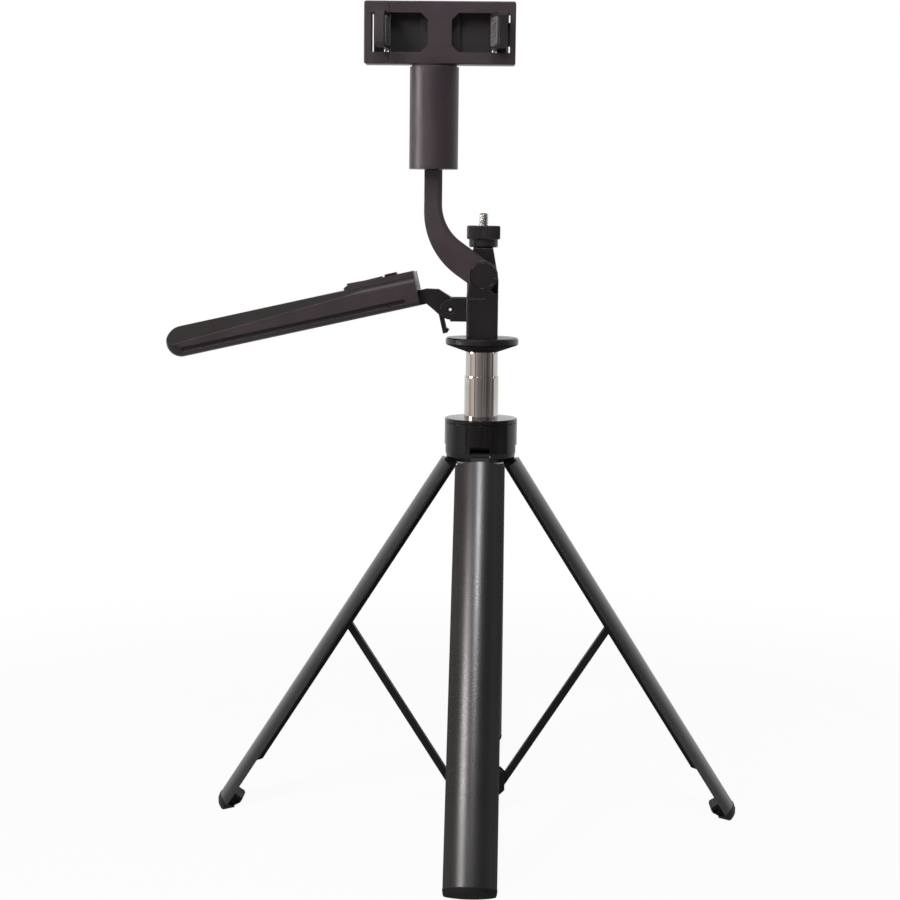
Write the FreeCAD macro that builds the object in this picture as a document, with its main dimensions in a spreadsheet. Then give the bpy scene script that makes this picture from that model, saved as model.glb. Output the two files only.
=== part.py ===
import FreeCAD, Part
import math
import os
from FreeCAD import Placement, Rotation, Vector
import Sketcher

# Selfie stick on a folding four-legged stand, millimetres, +Z up.
# The stand rests on the floor at Z = 0 with the mast on the Z axis, and the head faces -Y.

doc = FreeCAD.newDocument("selfie_stick_tripod")
sheet = doc.addObject("Spreadsheet::Sheet", "Sizes")

SIZES = {
    # running fits and seams
    "slide_clearance": 0.10,
    "pin_clearance": 0.05,
    "side_clearance": 0.30,
    "seam": 0.30,
    # telescopic mast
    "mast_radius": 11.25,
    "mast_wall": 0.50,
    "mast_bottom": 12.0,
    "mast_shown": 27.8,
    "mouth_edge": 0.4,
    "upper_wall": 0.50,
    "upper_length": 233.0,
    "upper_shown": 16.0,
    "crimp": 1.0,
    # hub that slides on the mast
    "hub_lip": 0.6,
    "hub_height": 26.2,
    "hub_round_inset": 5.4,
    "hub_round_height": 7.4,
    "cap_height": 3.0,
    "cap_groove": 0.5,
    "slot_width": 13.0,
    "slot_height": 11.8,
    "slot_wall": 1.1,
    "pin_radius": 1.5,
    "pin_length": 20.0,
    # legs
    "splay": 32.475,
    "pivot_radius": 17.0,
    "pivot_rise": 4.5,
    "foot_press": 1.306,
    "knuckle_radius": 4.2,
    "leg_radius": 23.4,
    "leg_wall": 2.0,
    "leg_half_angle": 44.0,
    "shell_start": 5.9,
    "shell_end": 282.5,
    "foot_end": 289.0,
    "foot_overhang": 0.3,
    "foot_core_radius": 14.5,
    "toe_height": 6.0,
    "toe_inset": 4.2,
    "foot_tongue_reach": 8.3,
    "foot_tongue_half": 8.0,
    "foot_tongue_height": 13.6,
    "foot_tongue_bevel": 1.3,
    "foot_tip_height": 3.6,
    "foot_rib_pitch": 3.2,
    "foot_rib_gap": 1.0,
    "foot_rib_depth": 0.8,
    "foot_pocket_depth": 2.0,
    "foot_pocket_wall": 1.4,
    "foot_pocket_length": 3.2,
    "foot_pocket_height": 2.6,
    "rail_end": 254.5,
    "rail_taper": 9.0,
    "rail_wall": 1.6,
    "rail_reach": 4.7,
    "web_gap": 0.8,
    "web_wall": 1.1,
    # struts and the runner at the foot of the mast
    "strut_joint_along": 135.2,
    "strut_joint_inset": 2.7,
    "relief_above": 13.0,
    "relief_below": 4.0,
    "strut_width": 4.6,
    "strut_depth": 5.6,
    "strut_pin_radius": 1.25,
    "runner_pivot_radius": 16.0,
    "runner_pivot_rise": 5.2,
    "runner_drop": 0.7,
    "runner_height": 16.8,
    "lug_bevel": 3.0,
    "runner_radius": 13.0,
    "lug_reach": 3.3,
    "lug_wall": 1.8,
    # flange and head
    "flange_radius": 24.0,
    "flange_rim": 5.0,
    "flange_cone": 4.3,
    "spigot_length": 15.0,
    "head_half_width": 10.2,
    "head_front": 16.0,
    "head_back": 14.0,
    "head_block_height": 29.2,
    "ear_wall": 2.2,
    "ear_skin": 0.9,
    "ear_bevel": 0.8,
    "cover_seam_drop": 3.2,
    "cover_seam": 0.4,
    "ear_radius": 9.0,
    "ear_waist": 3.6,
    "ear_waist_height": 3.0,
    "arm_pivot_rise": 11.5,
    "arm_wall": 8.0,
    "arm_eye_radius": 10.0,
    "arm_pin_radius": 2.5,
    "neck_half_width": 6.4,
    "neck_rise": 18.0,
    "neck_shoulder": 3.0,
    "screw_set_back": 6.0,
    "screw_radius": 3.175,
    "screw_shank_radius": 2.75,
    "screw_shown": 7.9,
    "screw_depth": 13.0,
    "nut_small_radius": 9.5,
    "nut_radius": 11.0,
    "nut_step": 5.2,
    "nut_height": 14.2,
    # hinge of the side grip
    "grip_hinge_offset": 21.0,
    "grip_hinge_rise": 18.4,
    "grip_slope": 12.9,
    "fork_wall": 3.7,
    "fork_radius": 6.6,
    "fork_half_height": 7.8,
    "tongue_width": 8.0,
    "tongue_radius": 6.0,
    "grip_pin_radius": 2.5,
    "grip_pin_bore": 0.95,
    "grip_length": 188.0,
    "grip_start": 18.5,
    "grip_floor": 6.8,
    "grip_height": 20.0,
    "grip_end_flat": 0.1,
    "grip_width": 24.0,
    "grip_round": 5.0,
    "ridge_far": 9.0,
    "ridge_near": 19.0,
    "facet_lean": 42.0,
    "grip_groove_rise": 3.4,
    "grip_groove_height": 2.8,
    "grip_groove_depth": 1.4,
    "grip_groove_inset": 10.0,
    "crank_high": 16.5,
    "crank_back": 12.4,
    "crank_front": 4.8,
    "crank_shoulder": 2.0,
    "crank_nose": 2.4,
    "crank_nose_height": 7.4,
    "crank_bend": 14.6,
    "crank_heel": 10.6,
    "hook_offset": 8.2,
    "hook_wall": 2.9,
    "hook_length": 14.6,
    "hook_barb": 1.7,
    "deck_start": 65.4,
    "deck_width": 16.0,
    "deck_height": 3.0,
    "rocker_start": 39.5,
    "rocker_length": 23.5,
    "rocker_height": 0.9,
    "rocker_dish": 0.4,
    "button_start": 29.5,
    "button_length": 8.2,
    "button_height": 1.5,
    "control_width": 12.0,
    "strip_wall": 1.8,
    "strip_width": 13.0,
    "strip_drop": 0.6,
    "strip_rib": 1.0,
    "strip_rib_depth": 0.5,
    "strip_rib_inset": 1.2,
    # phone arm
    "stem_offset": 32.8,
    "stem_width": 11.4,
    "stem_rise": 68.2,
    "arm_sweep": 54.0,
    "arm_root_radius": 9.5,
    "arm_outer_rise": 15.4,
    "arm_inner_rise": 31.0,
    "arm_bend": 50.0,
    "arm_inner_bend": 30.0,
    "arm_bevel": 2.6,
    # pan housing and phone clamp
    "housing_radius": 15.8,
    "housing_height": 65.0,
    "spigot_radius": 4.0,
    "spigot_height": 12.0,
    "collar_radius": 14.4,
    "collar_height": 1.4,
    "clamp_left": 61.6,
    "clamp_right": 19.2,
    "clamp_height": 39.7,
    "clamp_depth": 14.0,
    "clamp_round": 1.6,
    "clamp_edge": 0.6,
    "jaw_length": 16.4,
    "jaw_travel": 25.0,
    "end_wall": 3.7,
    "jaw_end_wall": 4.7,
    "slit_width": 1.8,
    "slit_length": 5.0,
    "notch_width": 3.0,
    "pocket_height": 24.8,
    "pocket_depth": 9.0,
    "pocket_length": 24.5,
    "pocket_chamfer": 4.4,
    "shelf_depth": 6.4,
    "shelf_length": 5.0,
    "rod_radius": 1.8,
    "rod_length": 41.0,
    "rod_inset": 3.8,
    "flap_length": 24.0,
    "flap_wall": 5.5,
    "left_flap_lean": 6.0,
    "right_flap_lean": 15.0,
    "flap_foot_gap": 2.0,
    "flap_chamfer": 2.6,
    "flap_hinge_inset": 2.5,
    "flap_hinge_depth": 3.2,
    "flap_pin_radius": 1.2,
    "flap_pin_seat": 3.0,
    "pad_wall": 0.9,
    "pad_length": 15.0,
    "pad_height": 18.0,
    "pad_inset": 5.0,
}
# A round corner in three straight runs: the share of its inset that is left at a share of its height.
ROUND_RUNS = ((1, 0), (0.45, 0.21), (0.13, 0.55), (0, 1))
STRIP_RIBS = 5
# The grooves across each foot, in steps of their pitch from the middle.
FOOT_GROOVES = (-1.5, -0.5, 0.5, 1.5)

for row, (alias, number) in enumerate(SIZES.items(), start=1):
    sheet.set(f"A{row}", alias)
    sheet.set(f"B{row}", str(number))
    sheet.setAlias(f"B{row}", alias)
doc.recompute()


class Size:
    """A number together with the sheet expression that gives it."""

    def __init__(self, number, text):
        self.number = float(number)
        self.text = text

    @staticmethod
    def of(value):
        if isinstance(value, Size):
            return value
        return Size(value, repr(float(value)))

    def __add__(self, other):
        other = Size.of(other)
        return Size(self.number + other.number, f"({self.text} + {other.text})")

    def __sub__(self, other):
        other = Size.of(other)
        return Size(self.number - other.number, f"({self.text} - {other.text})")

    def __mul__(self, other):
        other = Size.of(other)
        return Size(self.number * other.number, f"({self.text} * {other.text})")

    def __truediv__(self, other):
        other = Size.of(other)
        return Size(self.number / other.number, f"({self.text} / {other.text})")

    def __radd__(self, other):
        return Size.of(other) + self

    def __rsub__(self, other):
        return Size.of(other) - self

    def __rmul__(self, other):
        return Size.of(other) * self

    def __neg__(self):
        return Size(-self.number, f"(-1 * {self.text})")


def cosine(angle):
    return Size(math.cos(math.radians(angle.number)), f"cos({angle.text} * 1 deg)")


def sine(angle):
    return Size(math.sin(math.radians(angle.number)), f"sin({angle.text} * 1 deg)")


class Sheet:
    """Each alias of the sheet as an attribute."""

    def __getattr__(self, alias):
        return Size(sheet.get(alias), f"Sizes.{alias}")


s = Sheet()
WORLD = Placement()
X_AXIS, Y_AXIS, Z_AXIS = Vector(1, 0, 0), Vector(0, 1, 0), Vector(0, 0, 1)
TURN_TO = {"Z": Rotation(), "Y": Rotation(X_AXIS, -90), "X": Rotation(Y_AXIS, 90)}
nodes = {}


def bind(obj, **sizes):
    for name, size in sizes.items():
        obj.setExpression(name, Size.of(size).text)
    return obj


def spot(x, y, z):
    return Vector(Size.of(x).number, Size.of(y).number, Size.of(z).number)


def box(name, x, y, z, frame=WORLD):
    """A block between two corners; x, y and z are (low, high) pairs."""
    obj = doc.addObject("Part::Box", name)
    bind(obj, Length=x[1] - Size.of(x[0]), Width=y[1] - Size.of(y[0]), Height=z[1] - Size.of(z[0]))
    obj.Placement = frame * Placement(spot(x[0], y[0], z[0]), Rotation())
    return obj


def rod(name, radius, length, at, axis="Z", frame=WORLD, angle=360, start=0):
    """A cylinder from `at` along an axis, or a sector of one."""
    obj = doc.addObject("Part::Cylinder", name)
    bind(obj, Radius=radius, Height=length, Angle=angle)
    turn = TURN_TO[axis] * Rotation(Z_AXIS, Size.of(start).number)
    obj.Placement = frame * Placement(spot(*at), turn)
    return obj


def fuse(name, *shapes):
    obj = doc.addObject("Part::MultiFuse", name)
    obj.Shapes = list(shapes)
    obj.Refine = True
    return obj


def cut(name, base, *tools):
    obj = doc.addObject("Part::Cut", name)
    obj.Base = base
    obj.Tool = tools[0] if len(tools) == 1 else fuse(name + "_cuts", *tools)
    obj.Refine = True
    return obj


def plane_of(body, role):
    return next(f for f in body.Origin.OriginFeatures if f.Role == role)


def outline(body, role, points, offset=0):
    """A closed sketch through the given points, each tied to the sheet."""
    sketch = body.newObject("Sketcher::SketchObject", body.Name + "_outline")
    sketch.AttachmentSupport = [(plane_of(body, role), "")]
    sketch.MapMode = "FlatFace"
    sketch.AttachmentOffset = Placement(Vector(0, 0, Size.of(offset).number), Rotation())
    points = [(Size.of(u), Size.of(v)) for u, v in points]
    corners = [Vector(u.number, v.number, 0) for u, v in points]
    count = len(corners)
    for i in range(count):
        sketch.addGeometry(Part.LineSegment(corners[i], corners[(i + 1) % count]))
    for i in range(count):
        sketch.addConstraint(Sketcher.Constraint("Coincident", i, 2, (i + 1) % count, 1))
    for i, (u, v) in enumerate(points):
        for kind, size in (("DistanceX", u), ("DistanceY", v)):
            index = sketch.addConstraint(Sketcher.Constraint(kind, -1, 1, i, 1, size.number))
            sketch.setExpression(f"Constraints[{index}]", size.text)
    return sketch


def turned(name, points, at=(0, 0, 0)):
    """A solid of revolution about Z from (radius, height) points."""
    body = doc.addObject("PartDesign::Body", name)
    sketch = outline(body, "XZ_Plane", points)
    turn = body.newObject("PartDesign::Revolution", name + "_turn")
    turn.Profile = sketch
    turn.ReferenceAxis = (sketch, ["V_Axis"])
    turn.Angle = 360
    body.Placement = Placement(spot(*at), Rotation())
    return body


def plate(name, points, front, back, frame=WORLD):
    """A plate from (x, z) points, between two depths along Y."""
    front, back = Size.of(front), Size.of(back)
    body = doc.addObject("PartDesign::Body", name)
    sketch = outline(body, "XZ_Plane", points, -back)
    pad = body.newObject("PartDesign::Pad", name + "_pad")
    pad.Profile = sketch
    bind(pad, Length=back - front)
    body.Placement = frame
    return body


def round_edges(body, radius, choose):
    """Rounds the edges of a body's solid that `choose` picks in the body's own frame."""
    doc.recompute()
    tip = body.Tip
    names = [f"Edge{i}" for i, edge in enumerate(tip.Shape.Edges, start=1) if choose(edge)]
    fillet = body.newObject("PartDesign::Fillet", body.Name + "_round")
    fillet.Base = (tip, names)
    bind(fillet, Radius=radius)
    body.Tip = fillet
    return body


def bevel_edges(body, size, choose):
    """Bevels the edges of a body's solid that `choose` picks in the body's own frame."""
    doc.recompute()
    tip = body.Tip
    names = [f"Edge{i}" for i, edge in enumerate(tip.Shape.Edges, start=1) if choose(edge)]
    bevel = body.newObject("PartDesign::Chamfer", body.Name + "_bevel")
    bevel.Base = (tip, names)
    bind(bevel, Size=size)
    body.Tip = bevel
    return body


def cone(name, low_radius, high_radius, height, at, frame, angle=360, start=0):
    """A cone that stands on `at`, or a sector of one."""
    obj = doc.addObject("Part::Cone", name)
    bind(obj, Radius1=low_radius, Radius2=high_radius, Height=height, Angle=angle)
    obj.Placement = frame * Placement(spot(*at), Rotation(Z_AXIS, Size.of(start).number))
    return obj


def corner_at(x, z):
    """Picks the straight edges along Y through one corner of an outline."""
    x, z = Size.of(x).number, Size.of(z).number

    def choose(edge):
        ends = [v.Point for v in edge.Vertexes]
        return len(ends) == 2 and all(math.hypot(p.x - x, p.z - z) < 1e-3 for p in ends)

    return choose


def keep(label, obj):
    obj.Label = label
    nodes[label] = obj
    return obj


# Open legs of this length and splay set the height of the hub, and the mast's mouth stands above the hub.
pivot_height = s.foot_end * cosine(s.splay) - s.foot_press
hub_radius = s.leg_radius + s.hub_lip
web_outer = s.leg_radius - s.leg_wall - s.pivot_radius - s.web_gap
hub_bottom = pivot_height - s.pivot_rise
hub_top = hub_bottom + s.hub_height
mast_top = hub_top + s.cap_height + s.mast_shown
runner_bottom = s.mast_bottom - s.runner_drop
runner_pivot_height = runner_bottom + s.runner_pivot_rise

# The telescopic mast: a plated outer tube with a crimped mouth and one inner tube that carries the head.
mast_bore = s.mast_radius - s.mast_wall
keep("mast_outer_tube", turned("mast_tube", [
    (mast_bore, s.mast_bottom),
    (s.mast_radius, s.mast_bottom),
    (s.mast_radius, mast_top - s.crimp),
    (mast_bore + s.mouth_edge, mast_top),
    (mast_bore, mast_top),
]))

upper_radius = mast_bore - s.slide_clearance
upper_bore = upper_radius - s.upper_wall
upper_top = mast_top + s.upper_shown
keep("mast_inner_tube", turned("upper_tube", [
    (upper_bore, upper_top - s.upper_length),
    (upper_radius, upper_top - s.upper_length),
    (upper_radius, upper_top - s.crimp),
    (upper_bore + s.mouth_edge, upper_top),
    (upper_bore, upper_top),
]))

# The hub slides on the outer tube; four slots hold the leg knuckles on pins.
hub_bore = s.mast_radius + s.slide_clearance
hub_corner = [
    (hub_radius - s.hub_round_inset * left, hub_bottom + s.hub_round_height * up)
    for left, up in ROUND_RUNS
]
hub_blank = turned("hub_blank", [
    (hub_bore, hub_bottom),
    *hub_corner,
    (hub_radius, hub_top),
    (hub_bore, hub_top),
])
cap_bottom = hub_top + s.cap_groove
keep("hub_cap", turned("hub_cap_ring", [
    (hub_bore, hub_top),
    (hub_radius - s.cap_groove, hub_top),
    (hub_radius - s.cap_groove, cap_bottom),
    (hub_radius, cap_bottom),
    (hub_radius, hub_top + s.cap_height - s.cap_groove),
    (hub_radius - s.cap_groove, hub_top + s.cap_height),
    (hub_bore, hub_top + s.cap_height),
]))

LEGS = {"front": -90, "right": 0, "back": 90, "left": 180}


def spoke(azimuth):
    """The frame of one leg's direction: X outward, Z up."""
    return Placement(Vector(), Rotation(Z_AXIS, azimuth))


def leg_frame(azimuth):
    """The frame of an open leg: origin at its pivot, -Z down the leg, X square to its outer face."""
    tilt = Placement(spot(s.pivot_radius, 0, pivot_height), Rotation(Y_AXIS, -s.splay.number))
    return spoke(azimuth) * tilt


slot_cuts = []
for side, azimuth in LEGS.items():
    frame = spoke(azimuth)
    slot_cuts.append(box(
        f"slot_{side}",
        (hub_bore + s.slot_wall, hub_radius + 1),
        (-s.slot_width / 2, s.slot_width / 2),
        (hub_bottom - 1, hub_bottom + s.slot_height),
        frame,
    ))
    slot_cuts.append(rod(
        f"pin_hole_{side}", s.pin_radius, s.pin_length,
        (s.pivot_radius, -s.pin_length / 2, pivot_height), "Y", frame,
    ))
    keep(f"leg_pin_{side}", rod(
        f"leg_pin_{side}_rod", s.pin_radius, s.pin_length,
        (s.pivot_radius, -s.pin_length / 2, pivot_height), "Y", frame,
    ))
keep("hub", cut("hub_solid", hub_blank, *slot_cuts))


def leg(side, azimuth):
    """One leg: a quarter-tube shell, the channel that takes the strut, and the foot."""
    frame = leg_frame(azimuth)
    axis = -s.pivot_radius
    inner = s.leg_radius - s.leg_wall
    span = s.leg_half_angle * 2
    length = s.shell_end - s.shell_start

    def sector(name, radius, low, high):
        return rod(
            f"{name}_{side}", radius, high - low, (axis, 0, -high), "Z", frame, span, -s.leg_half_angle,
        )

    shell = sector("shell_skin", s.leg_radius, s.shell_start, s.shell_end)
    hollow = rod(f"shell_hollow_{side}", inner, length + 2, (axis, 0, -s.shell_end - 1), "Z", frame)
    keep(f"leg_shell_{side}", cut(f"shell_{side}", shell, hollow))

    half_tongue = s.slot_width / 2 - s.side_clearance
    gap = s.strut_depth / 2 + s.side_clearance
    wall_out = gap + s.rail_wall
    knuckle = rod(f"knuckle_{side}", s.knuckle_radius, half_tongue * 2, (0, -half_tongue, 0), "Y", frame)
    tongue = box(
        f"tongue_{side}", (-s.knuckle_radius, web_outer), (-half_tongue, half_tongue),
        (-s.shell_start - s.knuckle_radius, 0), frame,
    )
    channel = box(
        f"channel_{side}", (-s.rail_reach, web_outer), (-wall_out, wall_out),
        (-s.rail_end, -s.shell_start), frame,
    )
    bore = rod(
        f"knuckle_bore_{side}", s.pin_radius + s.pin_clearance, half_tongue * 2 + 2,
        (0, -half_tongue - 1, 0), "Y", frame,
    )
    groove = box(
        f"groove_{side}", (-s.rail_reach - 1, web_outer - s.web_wall), (-gap, gap),
        (-s.rail_end - 1, -s.shell_start - s.knuckle_radius), frame,
    )
    relief = box(
        f"relief_{side}", (web_outer - s.web_wall - 1, web_outer + 1), (-gap, gap),
        (-s.strut_joint_along - s.relief_below, -s.strut_joint_along + s.relief_above), frame,
    )
    run_out = plate(f"run_out_{side}", [
        (-s.rail_reach - 1, -s.rail_end - 1),
        (web_outer - s.web_wall, -s.rail_end - 1),
        (web_outer - s.web_wall, -s.rail_end),
        (-s.rail_reach, -s.rail_end + s.rail_taper),
        (-s.rail_reach - 1, -s.rail_end + s.rail_taper),
    ], -wall_out - 1, wall_out + 1, frame)
    carrier = fuse(f"carrier_blank_{side}", knuckle, tongue, channel)
    keep(f"leg_channel_{side}", cut(f"carrier_{side}", carrier, bore, groove, relief, run_out))

    foot_radius = s.leg_radius + s.foot_overhang
    toe_start = s.foot_end - s.toe_height
    foot_pieces = [sector("cap", foot_radius, s.shell_end, toe_start)]
    for number, ((low_in, low_up), (high_in, high_up)) in enumerate(zip(ROUND_RUNS, ROUND_RUNS[1:])):
        foot_pieces.append(cone(
            f"toe_{side}_{number}", foot_radius - s.toe_inset * low_in, foot_radius - s.toe_inset * high_in,
            s.toe_height * (high_up - low_up), (axis, 0, -s.foot_end + s.toe_height * low_up), frame, span,
            -s.leg_half_angle,
        ))
    core = rod(f"cap_core_{side}", s.foot_core_radius, s.foot_end, (axis, 0, -s.foot_end - 1), "Z", frame)
    rim = cut(f"foot_rim_{side}", fuse(f"foot_blank_{side}", *foot_pieces), core)
    half = s.foot_tongue_half
    tongue_top = -s.foot_end + s.foot_tongue_height
    rim_inner = axis + s.foot_core_radius
    rim_root = rim_inner + s.foot_pocket_wall
    heel = plate(f"foot_tongue_{side}", [
        (rim_root, -s.foot_end),
        (rim_root, tongue_top),
        (-s.foot_tongue_reach + s.foot_tongue_bevel, tongue_top),
        (-s.foot_tongue_reach, tongue_top - s.foot_tongue_bevel),
        (-s.foot_tongue_reach, tongue_top - s.foot_tip_height),
        (rim_inner, -s.foot_end),
    ], -half, half, frame)
    trims = [box(
        f"floor_{side}", (0, s.foot_end), (-s.foot_end, s.foot_end), (-s.foot_end, 0), spoke(azimuth),
    )]
    for number, step in enumerate(FOOT_GROOVES):
        middle = s.foot_rib_pitch * step
        trims.append(box(
            f"foot_rib_{side}_{number}", (-s.foot_tongue_reach - 1, rim_inner),
            (middle - s.foot_rib_gap / 2, middle + s.foot_rib_gap / 2),
            (tongue_top - s.foot_rib_depth, tongue_top + 1), frame,
        ))
    pocket_in = half - s.foot_pocket_depth
    pocket_start = -s.foot_tongue_reach + s.foot_pocket_wall
    pocket_top = tongue_top - s.foot_rib_depth - s.foot_pocket_wall
    for hand, depth in (("a", (-half - 1, -pocket_in)), ("b", (pocket_in, half + 1))):
        trims.append(box(
            f"foot_pocket_{side}_{hand}", (pocket_start, pocket_start + s.foot_pocket_length), depth,
            (pocket_top - s.foot_pocket_height, pocket_top), frame,
        ))
    keep(f"leg_foot_{side}", cut(f"foot_{side}", fuse(f"foot_body_{side}", rim, heel), *trims))


for side, azimuth in LEGS.items():
    leg(side, azimuth)

# The runner is fixed at the foot of the mast; each strut swings on one of its pins.
runner_top = runner_bottom + s.runner_height
lug_in = s.strut_depth / 2 + s.side_clearance
lug_out = lug_in + s.lug_wall
ring = rod("runner_ring", s.runner_radius, s.runner_height, (0, 0, runner_bottom))
runner_pieces = [ring]
lug_end = s.runner_pivot_radius + s.lug_reach
strut_gaps = []
pins = []
for side, azimuth in LEGS.items():
    runner_pieces.append(plate(f"lug_{side}", [
        (s.mast_radius, runner_bottom),
        (lug_end - s.lug_bevel, runner_bottom),
        (lug_end, runner_bottom + s.lug_bevel),
        (lug_end, runner_top - s.lug_bevel),
        (lug_end - s.lug_bevel, runner_top),
        (s.mast_radius, runner_top),
    ], -lug_out, lug_out, spoke(azimuth)))
    strut_gaps.append(box(
        f"strut_gap_{side}", (s.runner_radius, lug_end + 1), (-lug_in, lug_in),
        (runner_bottom - 1, runner_top + 1), spoke(azimuth),
    ))
    pins.append(rod(
        f"runner_pin_{side}", s.strut_pin_radius, lug_out * 2,
        (s.runner_pivot_radius, -lug_out, runner_pivot_height), "Y", spoke(azimuth),
    ))
mast_seat = rod("runner_seat", s.mast_radius, s.runner_height + 2, (0, 0, runner_bottom - 1))
runner_frame = cut("runner_frame", fuse("runner_blank", *runner_pieces), mast_seat, *strut_gaps)
keep("runner", fuse("runner_solid", runner_frame, *pins))

# Each open strut leans out from its runner pin to its joint inside the leg's channel.
splay = math.radians(s.splay.number)
joint_radius = (s.pivot_radius.number + s.strut_joint_along.number * math.sin(splay)
                - s.strut_joint_inset.number * math.cos(splay))
joint_height = (pivot_height.number - s.strut_joint_along.number * math.cos(splay)
                - s.strut_joint_inset.number * math.sin(splay))
strut_out = joint_radius - s.runner_pivot_radius.number
strut_rise = joint_height - runner_pivot_height.number
strut_length = math.hypot(strut_out, strut_rise)
strut_lean = math.degrees(math.atan2(strut_out, strut_rise))


def strut(side, azimuth):
    """One strut: a flat bar with round ends, bored for its runner pin."""
    foot = Placement(spot(s.runner_pivot_radius, 0, runner_pivot_height), Rotation(Y_AXIS, strut_lean))
    frame = spoke(azimuth) * foot
    half = s.strut_depth / 2
    edge = s.strut_width / 2
    bar = box(f"strut_bar_{side}", (-edge, edge), (-half, half), (0, strut_length), frame)
    low = rod(f"strut_low_{side}", s.strut_width / 2, s.strut_depth, (0, -half, 0), "Y", frame)
    high = rod(f"strut_high_{side}", s.strut_width / 2, s.strut_depth, (0, -half, strut_length), "Y", frame)
    bore = rod(
        f"strut_bore_{side}", s.strut_pin_radius + s.pin_clearance, s.strut_depth + 2, (0, -half - 1, 0),
        "Y", frame,
    )
    keep(f"strut_{side}", cut(f"strut_solid_{side}", fuse(f"strut_blank_{side}", bar, low, high), bore))


for side, azimuth in LEGS.items():
    strut(side, azimuth)

# The flange plugs into the inner tube and carries the head.
plug_radius = upper_bore - s.pin_clearance
rim_bottom = upper_top + s.flange_cone
head_bottom = rim_bottom + s.flange_rim
keep("flange", turned("flange_disc", [
    (plug_radius - s.upper_wall * 2, upper_top - s.spigot_length),
    (plug_radius, upper_top - s.spigot_length),
    (plug_radius, upper_top),
    (upper_radius, upper_top),
    (s.flange_radius - s.crimp, rim_bottom),
    (s.flange_radius, rim_bottom + s.crimp),
    (s.flange_radius, head_bottom - s.crimp),
    (s.flange_radius - s.crimp, head_bottom),
    (plug_radius - s.upper_wall * 2, head_bottom),
]))

# The head: a block with a clevis for the phone arm, a fork for the grip and a neck for the camera screw.
wide = s.head_half_width
block_top = head_bottom + s.head_block_height
arm_front = -s.head_front + s.ear_wall + s.side_clearance
arm_back = arm_front + s.arm_wall
arm_pivot_height = block_top + s.arm_pivot_rise
neck_top = arm_pivot_height + s.neck_rise
grip_hinge_height = head_bottom + s.grip_hinge_rise
cover_back = -s.head_front + s.ear_wall
block = box("head_block", (-wide, wide), (cover_back, s.head_back), (head_bottom, block_top))
ear_post = plate("ear_post", [
    (-wide + s.side_clearance, head_bottom),
    (wide - s.side_clearance, head_bottom),
    (wide - s.side_clearance, block_top - s.ear_waist_height),
    (s.ear_radius - s.ear_waist, block_top + s.ear_waist_height),
    (s.ear_radius - s.ear_waist, arm_pivot_height),
    (-s.ear_radius, arm_pivot_height),
    (-wide + s.side_clearance, block_top),
], -s.head_front, cover_back)


def post_rim(edge):
    """Picks the upright front edges of the cover plate, above and below its waist."""
    ends = [v.Point for v in edge.Vertexes]
    in_front = all(abs(p.y + s.head_front.number) < 0.01 for p in ends)
    tall = abs(ends[0].z - ends[-1].z) > s.ear_bevel.number
    return in_front and tall


ear_post = bevel_edges(ear_post, s.ear_bevel, post_rim)
facing = Placement(spot(0, -s.head_front, arm_pivot_height), Rotation(X_AXIS, -90))
ear = fuse(
    "ear",
    cone("ear_rim", s.ear_radius - s.ear_bevel, s.ear_radius, s.ear_bevel, (0, 0, 0), facing),
    rod("ear_disc", s.ear_radius, s.ear_wall - s.ear_bevel, (0, 0, s.ear_bevel), "Z", facing),
)
neck = plate("neck", [
    (-wide, block_top - 1),
    (wide, block_top - 1),
    (wide, arm_pivot_height - s.neck_shoulder),
    (s.neck_half_width, neck_top),
    (-s.neck_half_width, neck_top),
    (-wide, arm_pivot_height),
], arm_back + s.side_clearance, s.head_back)
fork_in = s.tongue_width / 2 + s.side_clearance
fork_out = fork_in + s.fork_wall
hinge_x = -s.grip_hinge_offset
fork = []
for hand, (near, far) in (("front", (-fork_out, -fork_in)), ("back", (fork_in, fork_out))):
    fork.append(box(
        f"fork_{hand}", (hinge_x, -wide + 1), (near, far),
        (grip_hinge_height - s.fork_half_height, grip_hinge_height + s.fork_half_height),
    ))
    fork.append(rod(f"fork_end_{hand}", s.fork_radius, s.fork_wall, (hinge_x, near, grip_hinge_height), "Y"))
arm_pin_front = -s.head_front + s.ear_skin
arm_pin_at = (0, arm_pin_front, arm_pivot_height)
arm_hole = rod("arm_hole", s.arm_pin_radius, s.head_back - arm_pin_front + 1, arm_pin_at, "Y")
cover_seam = block_top - s.cover_seam_drop
seam_line = box(
    "cover_seam_line", (-wide, wide / 6), (-s.head_front - 1, -s.head_front + s.cover_seam),
    (cover_seam, cover_seam + s.cover_seam),
)
through_fork = (hinge_x, -fork_out - 1, grip_hinge_height)
grip_hole = rod("grip_hole", s.grip_pin_radius, fork_out * 2 + 2, through_fork, "Y")
screw_root = neck_top - s.screw_depth
screw_hole = rod("screw_hole", s.screw_shank_radius, s.screw_depth + 1, (0, s.screw_set_back, screw_root))
head_blank = fuse("head_blank", block, ear_post, ear, neck, *fork)
keep("head_body", cut("head_solid", head_blank, arm_hole, grip_hole, screw_hole, seam_line))
keep("arm_pivot_pin", rod(
    "arm_pin", s.arm_pin_radius, s.head_back - arm_pin_front - s.ear_skin, arm_pin_at, "Y",
))
nut_bottom = neck_top + s.seam
nut_top = nut_bottom + s.nut_height
thread_start = nut_top + s.seam
keep("camera_screw", turned("screw", [
    (0, screw_root),
    (s.screw_shank_radius, screw_root),
    (s.screw_shank_radius, thread_start),
    (s.screw_radius, thread_start),
    (s.screw_radius, thread_start + s.screw_shown),
    (0, thread_start + s.screw_shown),
], (0, s.screw_set_back, 0)))
nut_bore = s.screw_shank_radius + s.pin_clearance
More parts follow.
